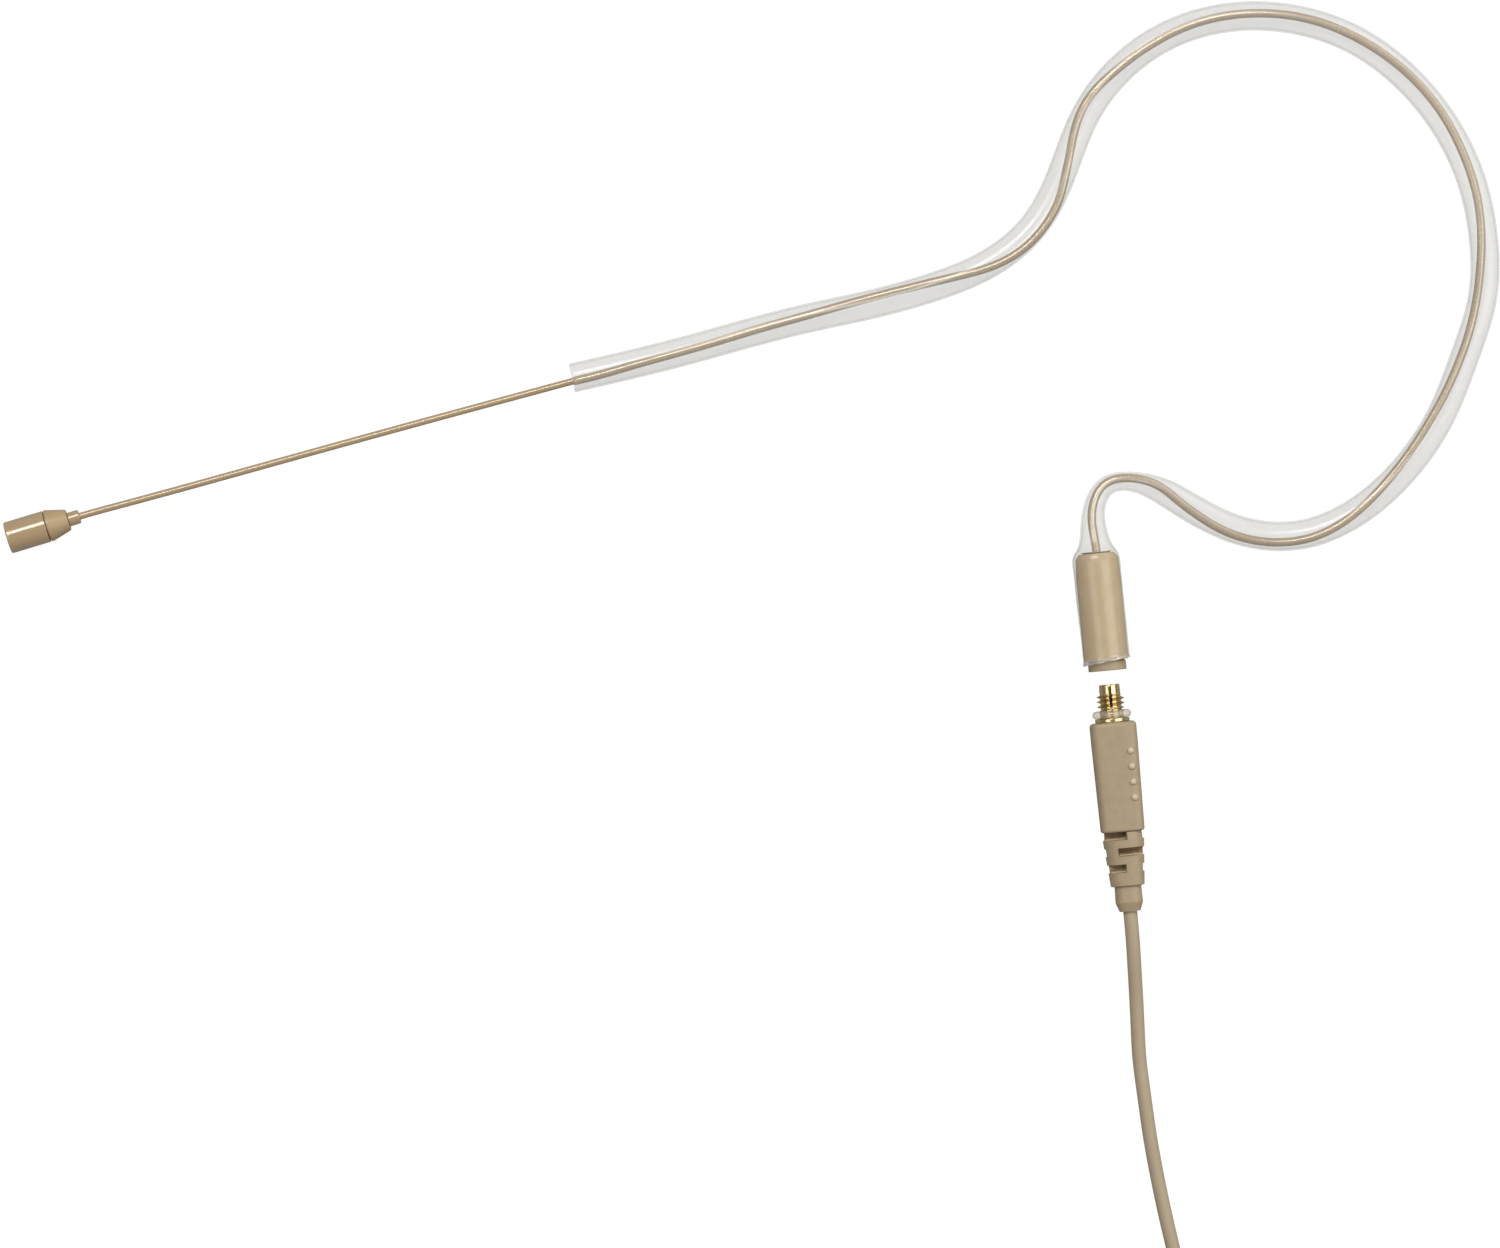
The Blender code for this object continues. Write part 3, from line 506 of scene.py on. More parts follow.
def patch(thing, material, wanted):
    """Gives a second material to the faces whose centres it wants, by x, y and distance below
    the origin of the piece's own frame."""
    mesh = thing.data
    mesh.materials.append(material)
    centres = np.array([face.center for face in mesh.polygons]) / MM
    chosen = wanted(centres[:, 0], centres[:, 1], -centres[:, 2])
    mesh.polygons.foreach_set("material_index", chosen.astype(np.int32))


def settle(thing, material, body, slot, *nodes):
    """Gives a piece its material, the body it rides on and the CAD nodes it stands for, which it hides;
    its slot is not used.
    """
    paint(thing, material)
    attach(thing, body)
    if nodes:
        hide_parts(*nodes)
    return thing


lacquer = solid(
    "beige_lacquer", LACQUER, 0.03, (0.12, 0.16), patches=500, fine=2500, bump=0,
    Coat_Weight=1.0, Coat_Roughness=0.11, Coat_IOR=1.55,
)
satin_lacquer = solid(
    "beige_satin_lacquer", LACQUER, 0.03, (0.32, 0.42), patches=500, fine=5000, bump=0.1,
)
wire_lacquer = solid(
    "beige_wire_lacquer", WIRE_LACQUER, 0.05, (0.18, 0.30), patches=700, fine=5000, bump=0.25,
    depth=0.00002, Metallic=0.3, Coat_Weight=0.7, Coat_Roughness=0.12,
)
moulded = solid("beige_moulded", MOULDED, 0.05, (0.42, 0.52), patches=1200, fine=7000, bump=0.35)
pale_moulded = solid(
    "pale_beige_moulded", PALE_MOULDED, 0.05, (0.62, 0.72), patches=600, fine=5000, bump=0.2,
    Specular_IOR_Level=0.15,
)
# The grip's dots: glossier, and lighter as a painted highlight
glossy_painted_highlight = solid("beige_glossy_painted_highlight", GLOSSY_PAINTED_HIGHLIGHT, 0.02, (0.25, 0.32), bump=0)
# Painted shade for recesses and for gaps between parts
painted_shade = solid("painted_shade", PAINTED_SHADE_BROWN, 0.25, (0.5, 0.6), patches=2500, bump=0.4)
jacket = solid(
    "beige_jacket", JACKET, 0.03, (0.50, 0.62), patches=300, fine=5000, bump=0.3,
    depth=0.00002,
)
gold = solid(
    "gold_plate", GOLD, 0.05, (0.12, 0.26), patches=1500, fine=9000, bump=0.15, depth=0.000004,
    stretch=(0.15, 0.15, 1.0), Metallic=1.0,
)
nickel = solid(
    "satin_nickel", NICKEL, 0.04, (0.24, 0.36), patches=400, fine=5000, bump=0.1, depth=0.000004,
    stretch=(0.1, 0.1, 1.0), Metallic=1.0,
)
steel = solid("bright_steel", (0.62, 0.62, 0.62), 0.06, (0.2, 0.35), Metallic=1.0)
board = solid("circuit_board", (0.03, 0.16, 0.06), 0.15, (0.35, 0.5), patches=1500)
white = solid("white_insulator", (0.75, 0.74, 0.70), 0.03, (0.4, 0.5))
black = solid("black_plastic", (0.02, 0.02, 0.021), 0.15, (0.35, 0.5))
rubber = solid("black_rubber", (0.018, 0.018, 0.018), 0.2, (0.55, 0.7), fine=4000, bump=0.4)
strap = woven("hook_strap", (0.030, 0.030, 0.032), 1100)
silicone = clear(
    "clear_silicone", (0.960, 0.958, 0.953), (0.88, 0.88, 0.865), (0.80, 0.79, 0.765), 0.085, 0.34,
    (0.19, 0.27),
)
lip_silicone = clear(
    "clear_silicone_lip", (0.96, 0.945, 0.91), (0.84, 0.80, 0.72), (0.88, 0.84, 0.77), 0.34, 0.6,
    (0.12, 0.20),
)
seal_silicone = clear(
    "seal_silicone", (0.95, 0.92, 0.86), (0.70, 0.64, 0.54), (0.74, 0.68, 0.57), 0.30, 0.6,
    (0.10, 0.16),
)


# ---- camera and light

VIEW_WIDTH, VIEW_MIDDLE, LENS, SENSOR = 159.75, -17.82, 200.0, 36.0
WIRE_Z = 1.6


def make_camera():
    """The camera, straight above the object, which fills the picture's width."""
    data = bpy.data.cameras.new("camera")
    data.lens, data.sensor_width = LENS, SENSOR
    data.clip_start, data.clip_end = 0.01, 20
    camera = placed("camera", data)
    camera.location = Vector((0, VIEW_MIDDLE, WIRE_Z + VIEW_WIDTH * LENS / SENSOR)) * MM
    bpy.context.scene.camera = camera


def make_softbox(name, tilt, turn, distance, size, radiance, aim=(0, 0)):
    """An area light aimed at a place: tilt degrees from straight above, towards an azimuth."""
    data = bpy.data.lights.new(name, "AREA")
    data.shape, data.size, data.size_y = "RECTANGLE", size[0], size[1]
    data.energy = radiance * pi * size[0] * size[1]
    light = placed(name, data)
    tilt, turn = radians(tilt), radians(turn)
    way = Vector((sin(tilt) * cos(turn), sin(tilt) * sin(turn), cos(tilt)))
    light.location = Vector((aim[0], aim[1] + VIEW_MIDDLE * MM, 0)) + way * distance
    light.rotation_euler = way.to_track_quat("Z", "Y").to_euler()
    light.visible_camera = False


def make_surround():
    """A pale floor that runs up into an even white dome, for the camera alone to see."""
    far = 2500
    dome = [(far * cos(a), far * sin(a), 0) for a in np.linspace(0, pi / 2, 24)[1:-1]]
    surround = turned("surround", [(0, -0.02, 0), (far, -0.02, 0), *dome, (0, far, 0)], TABLE)
    paint(surround, solid(
        "pale_floor", (0.16, 0.16, 0.16), 0.02, (0.9, 0.9), patches=3, bump=0,
        Emission_Color=(1, 1, 1, 1), Emission_Strength=0.93,
    ))
    surround.visible_diffuse = surround.visible_glossy = False
    surround.visible_transmission = surround.visible_shadow = False
    return surround


def make_ground():
    """A darker ground that the camera doesn't see, which keeps the light below the object low."""
    ground = turned("ground", [(0, -0.6, 0), (2400, -0.6, 0), (2400, -0.3, 0), (0, -0.3, 0)], TABLE)
    paint(ground, solid("grey_ground", (0.35, 0.35, 0.34), 0.02, (0.8, 0.9), patches=3, bump=0))
    ground.visible_camera = False
    return ground


def make_stage():
    """The floor, its surround, an even sky and soft studio light."""
    bpy.context.scene.view_settings.view_transform = "Standard"
    surround = make_surround()
    ground = make_ground()
    world = bpy.data.worlds.new("sky")
    world.use_nodes = True
    feed(world.node_tree, world.node_tree.nodes["Background"], Color=(1, 1, 1, 1), Strength=0.24)
    bpy.context.scene.world = world
    make_softbox("key_top", 30, 97, 0.75, (0.42, 0.25), 8.6, aim=(-0.06, 0))
    make_softbox("key_right", 42, 2, 0.75, (0.32, 0.60), 2.6)
    make_softbox("fill_right", 66, 42, 1.2, (1.0, 0.7), 1.8)
    make_softbox("fill_left", 30, 185, 0.9, (0.35, 0.45), 1.9, aim=(0.02, -0.03))


make_camera()
make_stage()


# ---- cable


def coil_points():
    """The cable's wound stretch: rows of flat spirals, in and out by turns, one on another."""
    count = int(COIL_TURN / 360 * COIL_POINTS_A_TURN)
    part = np.linspace(0, 1, count + 1)
    row = part * COIL_ROWS
    step = np.clip(row.astype(int), 0, COIL_ROWS - 1)
    inward = np.where(step % 2 == 0, row - step, 1 - (row - step))
    radius = COIL_OUTER - (COIL_OUTER - COIL_INNER) * inward
    turns_a_row = COIL_TURN / 360 / COIL_ROWS
    turns_to_climb = 0.32
    ease = turns_to_climb / 2 / turns_a_row
    rise = sum(ramp(row, k - ease, k + ease) for k in range(1, COIL_ROWS))
    angle = np.radians(COIL_START - COIL_TURN * part)
    x, y = COIL_CENTRE[0] + radius * np.cos(angle), COIL_CENTRE[1] + radius * np.sin(angle)
    return np.stack([x, y, COIL_LOW + COIL_ROW_GAP * rise], axis=1)


def make_cable():
    """The whole cable as one curve, from inside the plug's boot to the far plug."""
    start = [in_table(PLUG, (0, 0, -u)) for u in (CORD_START, BOOT_END, BOOT_END + 1.0)]
    relief_end = -reach("far_relief", FAR)[1]
    end = [in_table(FAR, (0, 0, -u)) for u in (relief_end, relief_end - 1.5)]
    route = Route(np.concatenate([start, LEAD_ROUTE, coil_points(), TAIL_ROUTE, end]))
    data = bpy.data.curves.new("cable", "CURVE")
    data.dimensions, data.use_fill_caps = "3D", True
    data.bevel_depth, data.bevel_resolution = CORD_R * MM, 8
    line = data.splines.new("POLY")
    points = route.at(route.stations(0.7))
    line.points.add(len(points) - 1)
    line.points.foreach_set("co", np.c_[points * MM, np.ones(len(points))].ravel())
    line.use_smooth = True
    cable = placed("cable", data)
    settle(cable, jacket, "cable", "jacket", "cord_lead", "cord_coil", "cord_tail")
    return cable


def make_coil_strap(number, angle):
    """A hook-and-loop strap closed round the coil, its free end lapped over on top."""
    node_name = f"coil_tie_{number}"
    way = (cos(radians(angle)), sin(radians(angle)), 0)
    place = local_frame((*COIL_CENTRE, 0), (0, 0, 1), way)
    low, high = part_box(node_name)
    bottom, top = low.z / MM, high.z / MM
    thick, half, cord_room, gap, bevel = 0.25, 1.75, 0.80, 0.08, 0.10
    inner = sqrt((COIL_INNER - cord_room) ** 2 - half**2) - gap - thick
    outer = COIL_OUTER + cord_room + gap + thick
    corners = [(inner, bottom, 1.0), (outer, bottom, 1.3), (outer, top, 1.3), (inner, top, 1.0)]
    loop = Route([(x, z, 0) for x, z in lapped(corners)])
    stations = loop.stations(0.22)
    points, ways = loop.at(stations), loop.ways(stations)
    inside = np.stack([-ways[:, 1], ways[:, 0], ways[:, 2]], axis=1)
    rib_pitch, rib_high = 0.66, 0.02
    ribs = 0.5 + 0.5 * np.cos(stations * 2 * pi / rib_pitch)
    edge = [(half - bevel, 0.0), (half, 0.3), (half, 0.7), (half - bevel, 1.0)]
    edge += [(-y, share) for y, share in reversed(edge)]
    rings = []
    for point, inward, rib in zip(points, inside, ribs):
        skin_out = point - inward * rib_high * rib
        skin_in = point + inward * thick
        spots = [(skin_out * (1 - share) + skin_in * share, y) for y, share in edge]
        rings.append([(spot[0], y, spot[1]) for spot, y in spots])
    thing = skinned(f"coil_strap_{number}", rings, place)
    settle(thing, strap, "cable", "strap", node_name)
    return thing


def lapped(corners):
    """A rounded closed loop that starts and ends on its top side, the end lapped over the start."""
    smooth = softened(corners, steps=6)
    each = len(smooth) // 4
    top, middle = corners[2][1], (corners[0][0] + corners[1][0]) / 2
    start = [(middle + 1.5, top - 0.02), (middle - 1.0, top - 0.01)]
    rest = smooth[3 * each :] + smooth[: 3 * each]
    lift = 0.27
    end = [(middle + 2.6, top + 0.02), (middle + 1.6, top + lift), (middle - 2.4, top + lift)]
    return [tuple(p) for p in start + rest + end]


# ---- capsule, boom and ear loop


def make_barrel():
    """The capsule's front barrel, which slides off, and the gauze in its mouth."""
    radius, low, length = reach("capsule_cap", CAPSULE)
    lip, wall, seat = 1.30, radius - 0.18, length - 0.24
    low += 0.01
    outline = [
        (wall, low, 0.02), (radius, low, 0.05), (radius, length, 0.16), (lip, length, 0.10),
        (lip, seat, 0.02), (wall, seat, 0.02),
    ]
    barrel = turned("capsule_barrel", outline, CAPSULE, sides=128)
    settle(barrel, lacquer, "cap", "lacquer", "capsule_cap")
    make_grille(lip + 0.12)


def make_rear():
    """The capsule's conical rear with its spigot and a seam darkened with painted shade, and the ferrule
    on the boom.
    """
    radius = reach("capsule_cap", CAPSULE)[0]
    cone_end, back = 1.14, reach("capsule_housing", CAPSULE)[1]
    spigot, bore = 1.49, 1.34
    outline = [
        (radius, -0.04, 0.05), (radius, -0.24, 0.5), (cone_end, back, 0.14), (0.62, back, 0.03),
        (0.62, -1.70, 0), (0.85, -1.60, 0), (bore, -0.60, 0), (bore, 1.20, 0.03),
        (spigot, 1.20, 0.03), (spigot, 0.08, 0.0), (spigot, -0.04, 0.0),
    ]
    rear = turned("capsule_rear", outline, CAPSULE, sides=128)
    settle(rear, satin_lacquer, "earset", "lacquer", "capsule_housing")
    # Painted shade in the seam between the barrel and the rear
    patch(rear, painted_shade, lambda x, y, u: (abs(u) < 0.1) & (np.hypot(x, y) < radius - 0.05))

    outer, end, _ = reach("boom_ferrule", CAPSULE)
    hole, neck, front, shoulder = 0.43, 0.58, -1.95, back - 0.04
    outline = [
        (hole, front, 0), (neck, front, 0), (neck, shoulder, 0), (outer, shoulder, 0.05),
        (outer, end, 0.14), (hole, end, 0.04),
    ]
    crimp = turned("boom_crimp", outline, CAPSULE, sides=64)
    settle(crimp, lacquer, "earset", "lacquer", "boom_ferrule")


def make_can():
    """The element's drawn metal can, with a ring of sound holes round its front opening."""
    radius, back, front = reach("element_can", CAPSULE)
    bore, opening, thick = radius - 0.13, 0.30, 0.20
    hole_r, hole_ring = 0.13, 0.78
    outline = [
        (opening, front, 0.03), (radius, front, 0.14), (radius, back, 0.04), (bore, back, 0.02),
        (bore, front - thick, 0.02), (opening, front - thick, 0.02),
    ]
    can = turned("capsule_can", outline, CAPSULE, sides=96)
    holes = []
    for number in range(6):
        angle = radians(60 * number)
        spot = Matrix.Translation(Vector((cos(angle), sin(angle), 0)) * hole_ring * MM)
        outline = [(0, front - 0.5), (hole_r, front - 0.5), (hole_r, front + 0.5), (0, front + 0.5)]
        holes.append(turned(f"sound_hole_{number}", outline, CAPSULE @ spot, 0.0, sides=24))
    settle(cut(can, *holes), nickel, "earset", "nickel", "element_can")


def make_grille(radius):
    """A woven steel gauze in the capsule's mouth, with its rim."""
    _, low, high = reach("cap_mesh", CAPSULE)
    middle = (low + high) / 2
    rim_wide, wire, pitch, sway_high, step = 0.16, 0.034, 0.19, 0.036, 0.06
    bore = radius - rim_wide
    form = bmesh.new()
    rim = softened([(bore, low), (radius, low), (radius, high), (bore, high)], 0.03)
    skin(form, circles(rim, 64), looped=True)
    count = int((radius - 0.14) / pitch)
    for across_y in (False, True):
        for i in range(-count, count + 1):
            offset = i * pitch
            half = sqrt((radius - 0.10) ** 2 - offset**2)
            along = np.linspace(-half, half, max(6, int(2 * half / step)))
            sway = np.cos(along / pitch * pi + (pi * (i + across_y)))
            heights = middle + sway_high * sway
            points = np.stack([along, np.full_like(along, offset), heights], axis=1)
            if across_y:
                points = points[:, [1, 0, 2]]
            skin(form, rings_along(points, unit(np.gradient(points, axis=0)), wire, 6))
    grille = made("capsule_grille", form, CAPSULE, 60)
    settle(grille, steel, "cap", "mesh_steel", "cap_mesh")


def piped(name, route, radius, bore, sides, gap):
    """A tube along a route, its first end softly rounded."""
    stations = route.stations(gap)
    points, ways = route.at(stations), route.ways(stations)
    outer = rings_along(points, ways, radius, sides)
    inner = rings_along(points, ways, bore, sides)
    soft = 0.04
    start = rings_along(points[:1] - soft * ways[:1], ways[:1], radius - soft, sides)
    return skinned(name, np.concatenate([outer, inner[::-1], start]), looped=True, crease=60)


def sleeve_route():
    """The sleeve's middle line, which climbs from the table to the socket's own axis."""
    level = [(x, y, LOOP_Z) for x, y in SLEEVE_ROUTE[: -len(SLEEVE_CLIMB)]]
    level += [(x, y, z) for (x, y), z in zip(SLEEVE_ROUTE[-len(SLEEVE_CLIMB) :], SLEEVE_CLIMB)]
    return Route(level + [in_table(PLUG, (0, 0, -u)) for u in SLEEVE_GRIP])


def slanted(rings, end, way):
    """Rings of the sleeve, with its lower end drawn out unevenly, as if cut by hand."""
    depth = (rings - end) @ way
    near = ramp(depth, -1.2, 0.0) * (np.linalg.norm(rings - end, axis=2) < 4)
    around = full_turn(rings.shape[1])
    slant = 0.22 + 0.30 * np.cos(around) + 0.03 * np.sin(3 * around + 1)
    return rings + (near * slant)[:, :, None] * way


def make_sleeve(route):
    """The clear tube, rounded at its first end and thin where it is stretched over the socket."""
    sides, soft_part, lip_part = 48, 34.0, 0.8
    loop = np.arange(0, route.length - soft_part, 0.5)
    lip_start = route.length - lip_part
    soft = np.linspace(route.length - soft_part, lip_start, 150)
    stations = np.concatenate([loop, soft, np.linspace(lip_start, route.length, 13)[1:]])
    from_end = route.length - stations
    bead, wall, stretched_by = 0.05, 0.15, 0.09
    radii = traced(from_end, SLEEVE_GIRTH) + bead * (1 - ramp(from_end, 0.0, 0.45))
    walls = wall - stretched_by * (1 - ramp(from_end, 11.2, 13.0))
    points, ways = route.at(stations), route.ways(stations)
    right, _ = across(ways)
    points = points + right * traced(from_end, SLEEVE_SHIFT)[:, None]
    outer = rings_along(points, ways, radii, sides)
    inner = rings_along(points, ways, radii - walls, sides)
    start = []
    for share, out in ((0.85, 0.30), (0.5, 0.42), (0.15, 0.30)):
        point = points[:1] - out * walls[0] * ways[:1]
        start.append(rings_along(point, ways[:1], radii[0] - share * walls[0], sides))
    rings = slanted(np.concatenate([outer, inner[::-1], *start]), points[-1], ways[-1])
    thing = skinned("clear_sleeve", rings, looped=True, crease=70)
    settle(thing, silicone, "earset", "sleeve", "ear_sleeve")
    thing.data.materials.append(lip_silicone)
    cloudy = np.abs(np.arange(len(rings)) - len(outer) - 0.5) < 6
    thing.data.polygons.foreach_set("material_index", np.repeat(cloudy, sides).astype(np.int32))


def make_wires(sleeve):
    """The boom and the ear wire, both hollow, and the microphone's lead inside them."""
    stem = [in_table(CAPSULE, (0, 0, z)) for z in (-2.0, -3.6)]
    boom_route = Route(stem + BOOM_ROUTE)
    settle(piped("boom", boom_route, 0.37, 0.23, 28, 1.0), lacquer, "earset", "lacquer", "boom_tube")
    stations = np.linspace(0.08, sleeve.length - 9.3, 300)
    right, _ = across(sleeve.ways(stations))
    line = sleeve.at(stations) + right * traced(stations, EAR_WIRE_WANDER)[:, None]
    wire = piped("ear_wire", Route(line), 0.45, 0.25, 28, 0.5)
    settle(wire, wire_lacquer, "earset", "lacquer", "ear_tube")
    make_lead(boom_route, line)


def make_lead(boom_route, line):
    """The microphone's thin lead, from its board through boom and ear wire to the socket."""
    start = [in_table(CAPSULE, (0, 0, z)) for z in (-0.60, -1.2)]
    solder = [in_table(PLUG, (0, 0, z)) for z in (10.8, 9.7)]
    in_boom = boom_route.at(boom_route.stations(6.0))[:-1]
    route = Route(np.concatenate([start, in_boom, line[3::3], solder]))
    stations = route.stations(1.0)
    rings = rings_along(route.at(stations), route.ways(stations), LEAD_R, 14)
    settle(skinned("microphone_lead", rings), black, "earset", "black", "mic_lead")


# ---- socket and plug


def make_socket():
    """The moulded housing, a little swollen since the photo's sleeve magnifies it, with a groove under
    its top that is darkened with painted shade."""
    radius, end, top = reach("socket_housing", PLUG)
    bore, hole, disc, groove_r, shoulder = radius - 0.27, 0.53, 1.70, 1.48, top - 0.19
    swell, aside = 0.15, Matrix.Translation((-0.05 * MM, 0, 0))
    radius += swell
    outline = [
        (hole, top, 0.05), (1.66, top, 0.03), (disc, top - 0.06, 0.02), (groove_r, top - 0.08, 0.01),
        (groove_r, shoulder, 0.01), (1.86, shoulder, 0.05), (radius - 0.11, top - 0.66, 0.30),
        (radius, top - 2.6, 1.0), (radius, end, 0.05),
        (bore, end, 0.02), (bore, top - 1.7, 0.1), (hole, top - 1.7, 0.02),
    ]
    shell = turned("socket_shell", outline, PLUG @ aside, sides=128)
    settle(shell, pale_moulded, "earset", "plastic", "socket_housing")
    groove = top - 0.135
    # Painted shade in the groove under the housing's top
    patch(shell, painted_shade, lambda x, y, u: (abs(u + groove) < 0.07) & (np.hypot(x, y) < 1.75))
    make_collar(end - 0.15, bore - 0.04)
    make_socket_thread()


def make_collar(rim, bore):
    """The collar on the housing's end, with painted shade where it sits in the gap between them."""
    collar, low, _ = reach("socket_collar", PLUG)
    ring, inside = 1.76, rim + 1.0
    outline = [
        (ring, low, 0.05), (collar, low, 0.09), (collar, rim, 0.03), (bore, rim, 0.02),
        (bore, inside, 0.04), (ring, inside, 0.02),
    ]
    lip = turned("socket_lip", outline, PLUG, sides=96)
    settle(lip, moulded, "earset", "plastic", "socket_collar")
    # Painted shade on the collar where it sits in the gap inside the housing
    patch(lip, painted_shade, lambda x, y, u: (u < -rim) & (np.hypot(x, y) > 1.80))


def thread_rings(radius, crest, pitch, first, low, high, heights, sides):
    """Rings of a cylinder with a sharp thread, crest high, that fades out at both its ends."""
    phase = (heights[:, None] - first - pitch * full_turn(sides)[None, :] / (2 * pi)) / pitch
    ridge = 1 - 2 * np.abs(phase - np.round(phase))
    fade = ramp(heights, low, low + 0.2) * (1 - ramp(heights, high - 0.2, high))
    radii = radius + crest * np.clip(1.25 * ridge - 0.25, 0, 1) ** 1.25 * fade[:, None]
    return wound(radii, heights[:, None], sides)


def make_socket_thread():
    """The socket's gold bush, threaded inside."""
    outer, low, high = reach("socket_bush", PLUG)
    sides, chamfer = 96, 0.03
    heights = np.linspace(low, high, 150)
    inner = thread_rings(outer - 0.05, -0.11, 0.5, low, low - 0.1, high + 0.1, heights, sides)
    outline = [
        (outer - chamfer, high), (outer, high - chamfer), (outer, low + chamfer), (outer - chamfer, low)
    ]
    rings = np.concatenate([inner, circles(outline, sides)])
    settle(skinned("socket_thread", rings, PLUG, looped=True), gold, "earset", "gold", "socket_bush")


# The plug's own places are distances below its gold tip
THREAD_TOP, THREAD_END = 1.02, 2.68
SEAL_TOP, SEAL_THICK_R, SEAL_RING_R = 2.76, 0.42, 1.65
BODY_TOP, BODY_END = 4.02, 15.70
CONTACT_BORE_R = 0.80


def make_plug_tip():
    """The gold contact sleeve: slotted crown, M3 thread, seal groove and flange."""
    sides = 144
    heights = -np.linspace(THREAD_TOP, THREAD_END, 120)
    thread = thread_rings(1.10, 0.41, 0.52, -1.51, -THREAD_END, -THREAD_TOP, heights, sides)
    flange, flange_end = SEAL_TOP + 2 * SEAL_THICK_R + 0.03, -BODY_TOP + 0.04
    groove_r, flange_r, shank = 1.20, 1.84, reach("plug_contact", PLUG)[1]
    above = softened(
        [(CONTACT_BORE_R, -0.5, 0), (CONTACT_BORE_R, 0.0, 0.07), (1.08, 0.0, 0.08), (1.12, -0.62, 0.1),
         (1.10, -0.98, 0)], closed=False,
    )
    below = softened(
        [(groove_r, -THREAD_END - 0.02, 0), (groove_r, -flange, 0.04), (flange_r, -flange, 0.05),
         (flange_r, flange_end, 0.05), (groove_r, flange_end, 0), (groove_r, shank, 0.02),
         (CONTACT_BORE_R, shank, 0.02), (CONTACT_BORE_R, -0.55, 0)], closed=False,
    )
    rings = np.concatenate([circles(above, sides), thread, circles(below, sides)])
    tip = skinned("plug_tip", rings, PLUG, looped=True, crease=30)
    slots = [
        block("slot_across", (0, 0, 0), (4, 0.28, 4.8), PLUG),
        block("slot_along", (0, 0, 0), (0.28, 4, 4.8), PLUG),
    ]
    settle(cut(tip, *slots, crease=30), gold, "plug", "gold", "plug_contact")


def make_plug_core():
    """The centre pin, and the insulator round it in black plastic as painted shade, so that it shows
    dark in the slots.
    """
    pin_r, pin_end, pin_top = reach("plug_pin", PLUG)
    outline = [(0, pin_end), (pin_r, pin_end, 0.02), (pin_r, pin_top, 0.16), (0, pin_top)]
    settle(turned("plug_centre_pin", outline, PLUG, sides=32), gold, "plug", "gold", "plug_pin")
    tube_r, tube_end, tube_top = reach("plug_insulator", PLUG)
    bore, step_r, step = 0.29, 0.48, -2.9
    outline = [
        (bore, tube_end), (tube_r, tube_end), (tube_r, step), (step_r, step), (step_r, tube_top),
        (bore, tube_top),
    ]
    tube = turned("plug_core_insulator", outline, PLUG, 0.05, sides=48)
    # Painted shade: the insulator is given black plastic so that the slots read dark
    settle(tube, black, "plug", "black", "plug_insulator")


def make_seal():
    """The clear sealing ring between thread and flange."""
    middle = -SEAL_TOP - SEAL_THICK_R
    outline = [
        (SEAL_RING_R + SEAL_THICK_R * cos(a), middle + SEAL_THICK_R * sin(a)) for a in full_turn(28)
    ]
    ring = skinned("seal_ring", circles(outline, 96), PLUG, looped=True)
    settle(ring, seal_silicone, "plug", "seal", "plug_seal")


def oval(half_width, half_depth, angles, fullness):
    """Points between an ellipse and a rectangle, as (x, y) arrays."""
    c, s = np.cos(angles), np.sin(angles)
    x = half_width * np.abs(c) ** (2 / fullness) * np.sign(c)
    y = half_depth * np.abs(s) ** (2 / fullness) * np.sign(s)
    return x, y


def bored(rings, radius, sides):
    """Rings of a shape and of the round bore through it, which together close on themselves."""
    ends = [(radius, rings[-1][0][2]), (radius, rings[0][0][2])]
    return np.concatenate([rings, circles(ends, sides)])


DOTS = [7.17 + 1.655 * i for i in range(4)]
DOT_X, DOT_R, DOT_HIGH = 1.55, 0.38, 0.26


def grip_ring(u, angles):
    """The grip's outline at a place, with the dome of the nearest dot on its front."""
    half_width, half_depth = 2.465, 2.30
    inset = rounded_in(0.42, u - BODY_TOP) + rounded_in(0.25, BODY_END - u)
    taper = 1 - 0.058 * np.clip((u - 6.0) / 9.4, 0, 1)
    x, y = oval(half_width * taper - inset, half_depth * taper - inset, angles, 5.0)
    nearest = min(DOTS, key=lambda dot: abs(dot - u))
    away = np.hypot(x - DOT_X, u - nearest) / DOT_R
    dome = np.where((away < 1) & (y < 0), np.sqrt(np.clip(1 - away**2, 0, 1)), 0.0)
    return np.stack([x, y - DOT_HIGH * dome, np.full_like(x, -u)], axis=1)


def on_a_dot(x, y, u):
    """Whether places on the grip are on one of its dots, which carry a painted highlight."""
    across_u = np.min([np.abs(u - dot) for dot in DOTS], axis=0)
    return (y < 0) & (np.hypot(x - DOT_X, across_u) < DOT_R * 0.92)


def make_grip():
    """The plug's moulded grip, slightly tapered, with four raised dots for the fingertip."""
    near_dots = np.linspace(radians(295), radians(330), 60)
    angles = np.unique(np.concatenate([full_turn(150), near_dots]))
    top = BODY_TOP + np.concatenate([[0, 0.01, 0.03], np.linspace(0.06, 0.6, 12)])
    close = [np.linspace(u - 0.5, u + 0.5, 24) for u in DOTS]
    end = BODY_END - np.concatenate([np.linspace(0.5, 0.05, 10), [0.02, 0.0]])
    places = np.unique(np.concatenate([top, *close, np.linspace(5.0, 15.0, 30), end]))
    rings = [grip_ring(u, angles) for u in places]
    grip = skinned("plug_grip", bored(rings, 1.50, len(angles)), PLUG, looped=True, crease=50)
    settle(grip, moulded, "plug", "plastic", "plug_body")
    # The dots get the glossier material, its lighter colour a painted highlight
    patch(grip, glossy_painted_highlight, on_a_dot)


# The boot's pockets: the place of each, the side it opens to, and how far past the middle it goes
POCKETS = [(16.13, -1, 0.28), (17.86, 1, 0.71), (19.61, -1, -0.04)]
POCKET_HALF = 0.41


